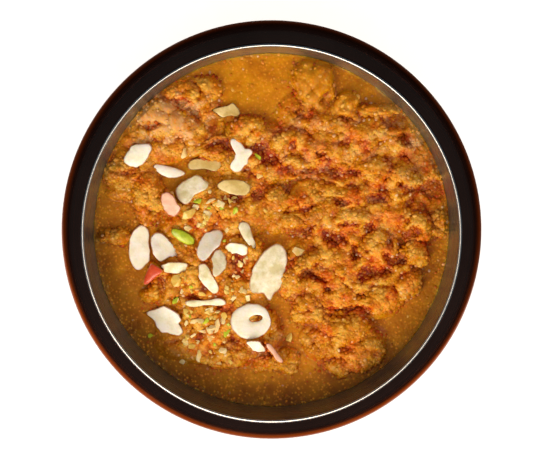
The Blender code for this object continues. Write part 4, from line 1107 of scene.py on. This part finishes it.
def ring_shape(tree):
    """Points, faces and edge shares of the ring: a torus of loops between its hole and its edge."""
    draw = np.random.default_rng(77)
    angles = ways_round(SLICE_SIDES)
    wobble = uneven(draw, 0.012)
    hole_x = RING_NUT["hole"][0] * np.cos(angles) + RING_NUT["hole_place"][0]
    hole_y = RING_NUT["hole"][1] * np.sin(angles) + RING_NUT["hole_place"][1]
    section = [(0.0, -0.25), (0.0, 0.25), (0.08, 0.42), (0.3, 0.5), (0.6, 0.5), (0.85, 0.44), (0.97, 0.3),
               (1.0, 0.1), (1.0, -0.15), (0.95, -0.38), (0.7, -0.5), (0.3, -0.5), (0.08, -0.42)]
    points, rims = [], []
    for spread, side in section:
        along = (hole_x + (wobble * np.cos(angles) - hole_x) * spread) * RING_NUT["half"][0]
        across = (hole_y + (wobble * np.sin(angles) - hole_y) * spread) * RING_NUT["half"][1]
        dx, dy = turned(along, across, -RING_NUT["turn"])
        x, y = dx + RING_NUT["place"][0], dy + RING_NUT["place"][1]
        points.append((x, y, side))
        rims += [max(0.0, 8 * abs(spread) - 7)] * SLICE_SIDES
    solid = np.array([(p[0], p[1]) for loop in (points[4], points[5]) for p in zip(loop[0], loop[1])])
    middles = [between_faces(tree, *place) for place in solid]
    known = [i for i, middle in enumerate(middles) if middle]
    shift = solid[known] - RING_NUT["place"]
    flat = np.stack([np.ones(len(shift)), shift[:, 0], shift[:, 1]], axis=1)
    terms = np.linalg.lstsq(flat, np.array([middles[i][0] for i in known]), rcond=None)[0]
    thickness = float(np.median([middles[i][1] for i in known]))
    placed = []
    for x, y, side in points:
        dx, dy = x - RING_NUT["place"][0], y - RING_NUT["place"][1]
        z = terms[0] + terms[1] * dx + terms[2] * dy + side * thickness
        placed.append(np.stack([x, y, z], axis=1))
    return np.concatenate(placed), loop_faces(len(section), SLICE_SIDES, capped=False), rims


print("ring:", len(ring_shape(NUT_TREES["almond_ring"])[1]), "faces")

# %% [markdown]
# ## What the nuts look like
# A raw almond slice is cream-white, faintly waxy, and lets light in. Its skin leaves a thin brown
# line on the edge. Ghee stains it amber in patches. Pistachio is a bright yellow-green that pales
# towards the middle of the kernel. Slivers of fried nut are tan.

# %% Nut materials


def nut_material(name, inner, outer, stain, skin, stain_share=0.35):
    """A nut's flesh, mottled between two colours and stained with ghee, with a line of skin."""
    made, tree, shader = new_material(
        name, IOR=1.47, Subsurface_Weight=0.3, Subsurface_Scale=0.8 * MM,
        Coat_Weight=0.25, Coat_Roughness=0.2, Coat_IOR=1.46)
    shader.inputs["Subsurface Radius"].default_value = (1.0, 0.6, 0.3)
    cloudy = mottled(tree, 3.5, 0.35, 0.65, detail=4.0)
    amber = mottled(tree, 2.2, 0.5, 0.72, 0.0, stain_share, 5.0, 0.65)
    rim = add(tree, "ShaderNodeAttribute", {"attribute_name": "rim"}).outputs["Fac"]
    near_edge = add(tree, "ShaderNodeMapRange",
                    inputs={"Value": rim, "From Min": 0.35, "From Max": 0.95})
    patchy = add(tree, "ShaderNodeMath", {"operation": "MULTIPLY"},
                 {0: near_edge.outputs[0], 1: mottled(tree, 2.8, 0.35, 0.6, 0.15, 1.0)})
    colour = linear(inner)
    for share, shade in ((cloudy, outer), (amber, stain), (patchy.outputs[0], skin)):
        colour = add(tree, "ShaderNodeMix", {"data_type": "RGBA"},
                     {"Factor": share, 6: colour, 7: linear(shade)}).outputs[2]
    place = add(tree, "ShaderNodeTexCoord").outputs["Object"]
    pits = add(tree, "ShaderNodeTexNoise",
               inputs={"Vector": place, "Scale": 1 / (0.9 * MM), "Detail": 4.0, "Roughness": 0.6})
    bump = add(tree, "ShaderNodeBump",
               inputs={"Height": pits.outputs["Fac"], "Strength": 0.5, "Distance": 0.25 * MM})
    feed(tree, shader, Base_Color=colour, Roughness=mottled(tree, 0.8, 0.3, 0.7, 0.3, 0.5),
         Normal=bump.outputs[0])
    return made


NUT_LOOKS = {
    "almond": nut_material("Almond flesh", "#fffcea", "#dcd4a4", "#aca464", "#a8683c"),
    "whiter_almond": nut_material("Almond flesh, whiter", "#fffef8", "#f6f2da", "#ccc48c",
                                 "#a8683c", 0.25),
    "chopped_almond": nut_material("Chopped almond in ghee", "#f8e6b4", "#e6c470", "#c08c28",
                                   "#a8683c", 0.5),
    "tan_nut": nut_material("Fried nut slice", "#e6d294", "#ccb064", "#a88634", "#7a4a1c"),
    "chopped_tan_nut": nut_material("Chopped fried nut", "#ecd070", "#d4ac3c", "#b88420", "#7a4a1c"),
    "pistachio": nut_material("Pistachio kernel", "#c6d424", "#9aae08", "#8a8208", "#6a5a20", 0.2),
    "pink_nut": nut_material("Almond with pink skin", "#ecc4ac", "#dca488", "#c88058", "#a85040"),
    "red_nut": nut_material("Red candied sliver", "#e05428", "#c03c14", "#ec9468", "#d87858"),
}


def look_of(name):
    """The look of a nut, from how its name starts."""
    for start, look in (("pistachio", "pistachio"), ("red", "red_nut"), ("pink", "pink_nut"),
                        ("tan", "tan_nut"), ("yellow", "tan_nut")):
        if name.startswith(start):
            return look
    return "almond"


# these slices get a whiter flesh than the other almonds
WHITER_SLICES = ("almond_ring", "almond_ring_tail", "almond_boat", "almond_second_left", "almond_tall_left",
         "almond_chunk_left", "almond_middle_upper", "almond_pointed", "curl_top")
nut_pieces = []
for salt, name in enumerate(NUT_NODES):
    if name == "almond_ring":
        points, faces, rims = ring_shape(NUT_TREES[name])
    else:
        points, faces, rims = slice_shape(name, slices[name], salt)
    look = look_of(name)
    finish = NUT_LOOKS["whiter_almond" if name in WHITER_SLICES else look]
    piece = new_piece(name + "_cut", points, faces, finish, look, [name])
    store(piece, "rim", rims)
    nut_pieces.append(piece)
print(len(nut_pieces), "nuts are cut")

# %% [markdown]
# ## Chopped nuts
# Chopped pieces are angular: each is the hull of a few points strewn over a rounded box, with its
# sharp corners cut back a little. They lie partly sunk, the placed ones where the plain model has
# them and many smaller ones strewn among those. Each kind of nut is one piece.

# %% Chopped nuts
# x, y, length, width, turn and kind
CHOPS = (
    (-29.5, 26.5, 3, 4, 0, "almond"), (-15.5, 24.5, 4.5, 2.5, 20, "pistachio"),
    (-4.5, 25.5, 4.5, 3, -10, "pistachio"), (-27.5, 6.5, 5.5, 4, 10, "tan_nut"),
    (-29.5, -7.5, 4.5, 3.5, 0, "pistachio"), (9, -6.5, 4.5, 4, 20, "almond"),
    (-32, -16.5, 4, 4.5, 0, "tan_nut"), (-41, -35.5, 2, 2, 0, "pistachio"),
    (-24.5, -42, 4.5, 2, 80, "almond"), (-18, -44.5, 2.5, 2.5, 0, "almond"),
    (-14, -44, 2.5, 2, 0, "tan_nut"), (-15, -34, 4, 2.5, 80, "pistachio"),
    (6, -36, 3.5, 3.5, 0, "tan_nut"), (-9.5, -20, 3.5, 2, 0, "almond"),
    (-26, -26, 3.5, 2.5, 20, "almond"), (-21, -26.5, 3.5, 2.5, 10, "almond"),
    (-25, -30, 5.5, 2, 10, "almond"), (-23.5, -33.5, 4.5, 2.5, -10, "almond"),
    (-18.5, -31.5, 6, 2.5, 70, "almond"), (-13.5, -22.5, 4, 3, 10, "almond"),
    (-20, 10.5, 5, 2, 20, "almond"), (-21.5, 6, 4, 3.5, 0, "almond"),
    (-4, 19, 2.5, 2.5, 0, "almond"), (-2, 7.5, 2, 2, 0, "tan_nut"),
    (-30, -44.5, 3, 2, 0, "almond"), (-23.5, 2, 2.5, 2, 0, "tan_nut"),
)
CHOP_HEIGHT = 0.5  # as a share of its lesser size
CHOP_LIFT = 0.22
CRUMBS, CRUMB_SEED = 150, 7
CRUMB_SIZES = (1.2, 2.6)
CRUMB_KINDS = ("tan_nut", "almond", "tan_nut", "almond", "almond", "tan_nut", "pistachio", "almond")
CRUMB_FIELD = (-21.0, -13.0, 15.0, 30.0)  # middle x, y and half sizes of the strewn patch
HULL_POINTS = 11


def strewn_crumbs():
    draw = np.random.default_rng(CRUMB_SEED)
    middle_x, middle_y, reach_x, reach_y = CRUMB_FIELD
    for number in range(CRUMBS):
        distance, angle = math.sqrt(draw.random()), 2 * math.pi * draw.random()
        x = middle_x + reach_x * distance * math.cos(angle)
        y = middle_y + reach_y * distance * math.sin(angle)
        size = draw.uniform(*CRUMB_SIZES)
        length, turn = size * draw.uniform(1.0, 1.6), draw.uniform(0, 180)
        yield x, y, length, size, turn, CRUMB_KINDS[number % len(CRUMB_KINDS)]


def clear_of_nuts(x, y, reach):
    """Whether no slice lies over the point or over eight more round it."""
    for step in range(9):
        share = min(step, 1) * reach
        angle = math.pi / 4 * step
        place = x + share * math.cos(angle), y + share * math.sin(angle)
        if any(underside(tree, *place) for tree in NUT_TREES.values()):
            return False
    return True


def chop_hull(draw):
    """Points and faces of an angular crumb about one unit across."""
    shape = bmesh.new()
    for _ in range(HULL_POINTS):
        way = draw.normal(size=3)
        way /= (np.abs(way) ** 3).sum() ** (1 / 3)
        shape.verts.new(Vector(0.5 * way * draw.uniform(0.85, 1.05)))
    bmesh.ops.convex_hull(shape, input=shape.verts)
    loose = [vertex for vertex in shape.verts if not vertex.link_faces]
    bmesh.ops.delete(shape, geom=loose, context="VERTS")
    bmesh.ops.bevel(shape, geom=list(shape.edges), offset=0.035, segments=1, affect="EDGES")
    bmesh.ops.recalc_face_normals(shape, faces=shape.faces)
    shape.verts.index_update()
    points = np.array([vertex.co for vertex in shape.verts])
    faces = [tuple(vertex.index for vertex in face.verts) for face in shape.faces]
    shape.free()
    return points, faces


def lay_chops():
    """Points and faces of every crumb, by kind."""
    laid = {"almond": ([], []), "tan_nut": ([], []), "pistachio": ([], [])}
    for number, (x, y, length, width, turn, kind) in enumerate(CHOPS + tuple(strewn_crumbs())):
        if not clear_of_nuts(x, y, length / 2):
            continue
        draw = np.random.default_rng(900 + number)
        hull, hull_faces = chop_hull(draw)
        height = CHOP_HEIGHT * min(length, width)
        tip = Euler((draw.uniform(-0.3, 0.3), draw.uniform(-0.3, 0.3), math.radians(turn)))
        hull = (hull * (length, width, height)) @ np.array(tip.to_matrix()).T
        hull += (x, y, float(surface(np.array([x]), np.array([y]))[0]) + CHOP_LIFT * height)
        points, faces = laid[kind]
        faces += [tuple(len(points) + corner for corner in face) for face in hull_faces]
        points += hull.tolist()
    return laid


chop_pieces = []
for kind, (points, faces) in lay_chops().items():
    finish = NUT_LOOKS.get("chopped_" + kind, NUT_LOOKS[kind])
    piece = new_piece("chopped_" + kind, points, faces, finish, kind)
    piece.data.shade_flat()
    store(piece, "rim", np.zeros(len(points)))
    chop_pieces.append(piece)
print(len(chop_pieces), "kinds of chopped nut")

# %% [markdown]
# ## Grains of semolina
# Thousands of swollen grains stand on the crumbs. Geometry Nodes scatters them: points spread over
# the halwa so that none is nearer to the next than a spacing, a small ball on each with its own
# size, turn and tone. Where the halwa is smooth or a nut covers it there are few or none.

# %% Scatter the grains


def scatter_tree(name, segments, rings):
    """A node group that spreads balls over a mesh, denser where its "grainy" number is high."""
    tree = bpy.data.node_groups.new(name, "GeometryNodeTree")
    for label, kind in (("Geometry", "NodeSocketGeometry"), ("Spacing", "NodeSocketFloat"),
                        ("Size", "NodeSocketFloat"), ("Lift", "NodeSocketFloat"), ("Seed", "NodeSocketInt"),
                        ("Material", "NodeSocketMaterial")):
        tree.interface.new_socket(label, in_out="INPUT", socket_type=kind)
    tree.interface.new_socket("Geometry", in_out="OUTPUT", socket_type="NodeSocketGeometry")
    given = add(tree, "NodeGroupInput").outputs
    grainy = add(tree, "GeometryNodeInputNamedAttribute", {"data_type": "FLOAT"}, {"Name": "grainy"})
    spread = add(tree, "GeometryNodeDistributePointsOnFaces", {"distribute_method": "POISSON"},
                 {"Mesh": given["Geometry"], "Distance Min": given["Spacing"], "Density Max": 4.0e6,
                  "Density Factor": grainy.outputs[0], "Seed": given["Seed"]})
    ball = add(tree, "GeometryNodeMeshUVSphere", inputs={"Segments": segments, "Rings": rings,
                                                          "Radius": given["Size"]})
    turn = add(tree, "FunctionNodeRandomValue", {"data_type": "FLOAT_VECTOR"},
               {0: (0, 0, 0), 1: (6.3, 6.3, 6.3), "Seed": given["Seed"]})
    girth = add(tree, "FunctionNodeRandomValue", {"data_type": "FLOAT_VECTOR"},
                {0: (0.75, 0.65, 0.55), 1: (1.35, 1.1, 0.95), "Seed": given["Seed"]})
    low = add(tree, "ShaderNodeCombineXYZ", inputs={2: given["Lift"]})
    sunk = add(tree, "GeometryNodeSetPosition",
               inputs={"Geometry": spread.outputs["Points"], "Offset": low.outputs[0]})
    placed = add(tree, "GeometryNodeInstanceOnPoints",
                 inputs={"Points": sunk.outputs[0], "Instance": ball.outputs["Mesh"],
                         "Rotation": turn.outputs[0], "Scale": girth.outputs[0]})
    tone = add(tree, "FunctionNodeRandomValue", {"data_type": "FLOAT"}, {"Seed": given["Seed"]})
    toned = add(tree, "GeometryNodeStoreNamedAttribute", {"data_type": "FLOAT", "domain": "INSTANCE"},
                {"Geometry": placed.outputs[0], "Name": "tone", "Value": tone.outputs[1]})
    real = add(tree, "GeometryNodeRealizeInstances", inputs={"Geometry": toned.outputs[0]})
    smooth = add(tree, "GeometryNodeSetShadeSmooth", inputs={"Geometry": real.outputs[0]})
    dressed = add(tree, "GeometryNodeSetMaterial",
                  inputs={"Geometry": smooth.outputs[0], "Material": given["Material"]})
    add(tree, "NodeGroupOutput", inputs={"Geometry": dressed.outputs[0]})
    return tree


def scatter(name, tree, values, slot):
    """Runs the group on a copy of the halwa and keeps what it makes as a plain mesh."""
    carrier = place_object(name + "_carrier", halwa_piece.data)
    modifier = carrier.modifiers.new("Scatter", "NODES")
    modifier.node_group = tree
    for item in tree.interface.items_tree:
        if item.in_out == "INPUT" and item.name in values:
            modifier[item.identifier] = values[item.name]
    graph = bpy.context.evaluated_depsgraph_get()
    mesh = bpy.data.meshes.new_from_object(carrier.evaluated_get(graph))
    bpy.data.objects.remove(carrier)
    mesh.name = name
    piece = place_object(name, mesh)
    settle(piece, slot)
    return piece


def grain_material(name, tones, tone_share):
    """A grain's colours. Light inside it is left out, as it turns black where balls overlap."""
    made, tree, shader = new_material(
        name, IOR=1.45, Roughness=0.4, Specular_IOR_Level=0.25, Coat_Weight=0.05,
        Coat_Roughness=0.2, Coat_IOR=1.46)
    tone, wall_shade = (add(tree, "ShaderNodeAttribute", {"attribute_name": name}).outputs["Fac"]
                 for name in ("tone", "painted_wall_shade"))
    # painted shade in the cracks and painted light on the crests, as on the halwa
    by_relief = add(tree, "ShaderNodeValToRGB", inputs={"Fac": blotched(tree)}, stops=GRAIN_SHADE_STOPS)
    by_tone = add(tree, "ShaderNodeValToRGB", inputs={"Fac": tone}, stops=tones)
    colour = by_relief.outputs[0]
    # the near wall's painted shade darkens the grains as well
    for share, layer in ((tone_share, by_tone.outputs[0]), (pale_share(tree), linear(PALE)),
                         (wall_shade, linear(WALL_SHADE_COLOUR))):
        colour = add(tree, "ShaderNodeMix", {"data_type": "RGBA"},
                     {"Factor": share, 6: colour, 7: layer}).outputs[2]
    feed(tree, shader, Base_Color=made_vivid(tree, colour, "#d87800"))
    return made


AMBER_TONES = ((0.0, "#a64a00"), (0.4, "#c87000"), (0.85, "#d89014"), (1.0, "#f0c080"))
PALE_TONES = ((0.0, "#b85c00"), (0.5, "#cc7c08"), (0.8, "#dc9830"), (0.92, "#f0c890"),
              (1.0, "#ffecd4"))
covered = np.zeros(len(halwa_points), bool)
covered[[i for i, _ in nut_hits(x, y)]] = True
on_top = np.arange(len(halwa_points)) < top_count - 6 * HALWA_RINGS
grainy = np.where(on_top & ~covered, np.clip(1.3 * read_off(crumbliness, x, y), 0.12, 1), 0)
store(halwa_piece, "grainy", grainy)
amber_grain = grain_material("Semolina grain in ghee", AMBER_TONES, 0.25)
pale_grain = grain_material("Semolina grain, drained", PALE_TONES, 0.45)
coarse = scatter("semolina_coarse", scatter_tree("Coarse grains", 8, 5),
                 {"Spacing": 1.5 * MM, "Size": 1.05 * MM, "Lift": -0.8 * MM, "Seed": 3,
                  "Material": amber_grain}, "halwa")
fine = scatter("semolina_fine", scatter_tree("Fine grains", 8, 5),
               {"Spacing": 1.7 * MM, "Size": 0.75 * MM, "Lift": -0.46 * MM, "Seed": 8,
                "Material": pale_grain}, "halwa")

# %% [markdown]
# ## Who is lit by what
# The key lamp lights the food, and a weak lamp at the right opens the food's shadows. A broad soft
# lamp high on the near side lights the steel alone and draws the bright line on its rim. The floor
# has a lamp of its own, with no shadow, as a product shot on white paper has.

# %% Link the lamps
food = [halwa_piece, coarse, fine] + nut_pieces + chop_pieces
light_only(key_lamp, food)
side_lamp = make_lamp("Side lamp", (400, 60, 450), 300, 0.8, "#fff0e0")
light_only(side_lamp, food)
rim_lamp = make_lamp("Rim lamp", (-60, -300, 650), 400, 7.5, "#ffe4c4")
light_only(rim_lamp, [steel_wall])


def make_floor_lamp(strength):
    data = bpy.data.lights.new("Floor lamp", "SUN")
    data.energy = strength
    lamp = place_object("Floor lamp", data)
    light_only(lamp, [floor])
    alone = bpy.data.collections.new("Floor lamp is blocked by")
    alone.objects.link(floor)
    lamp.light_linking.blocker_collection = alone


make_floor_lamp(2.7)
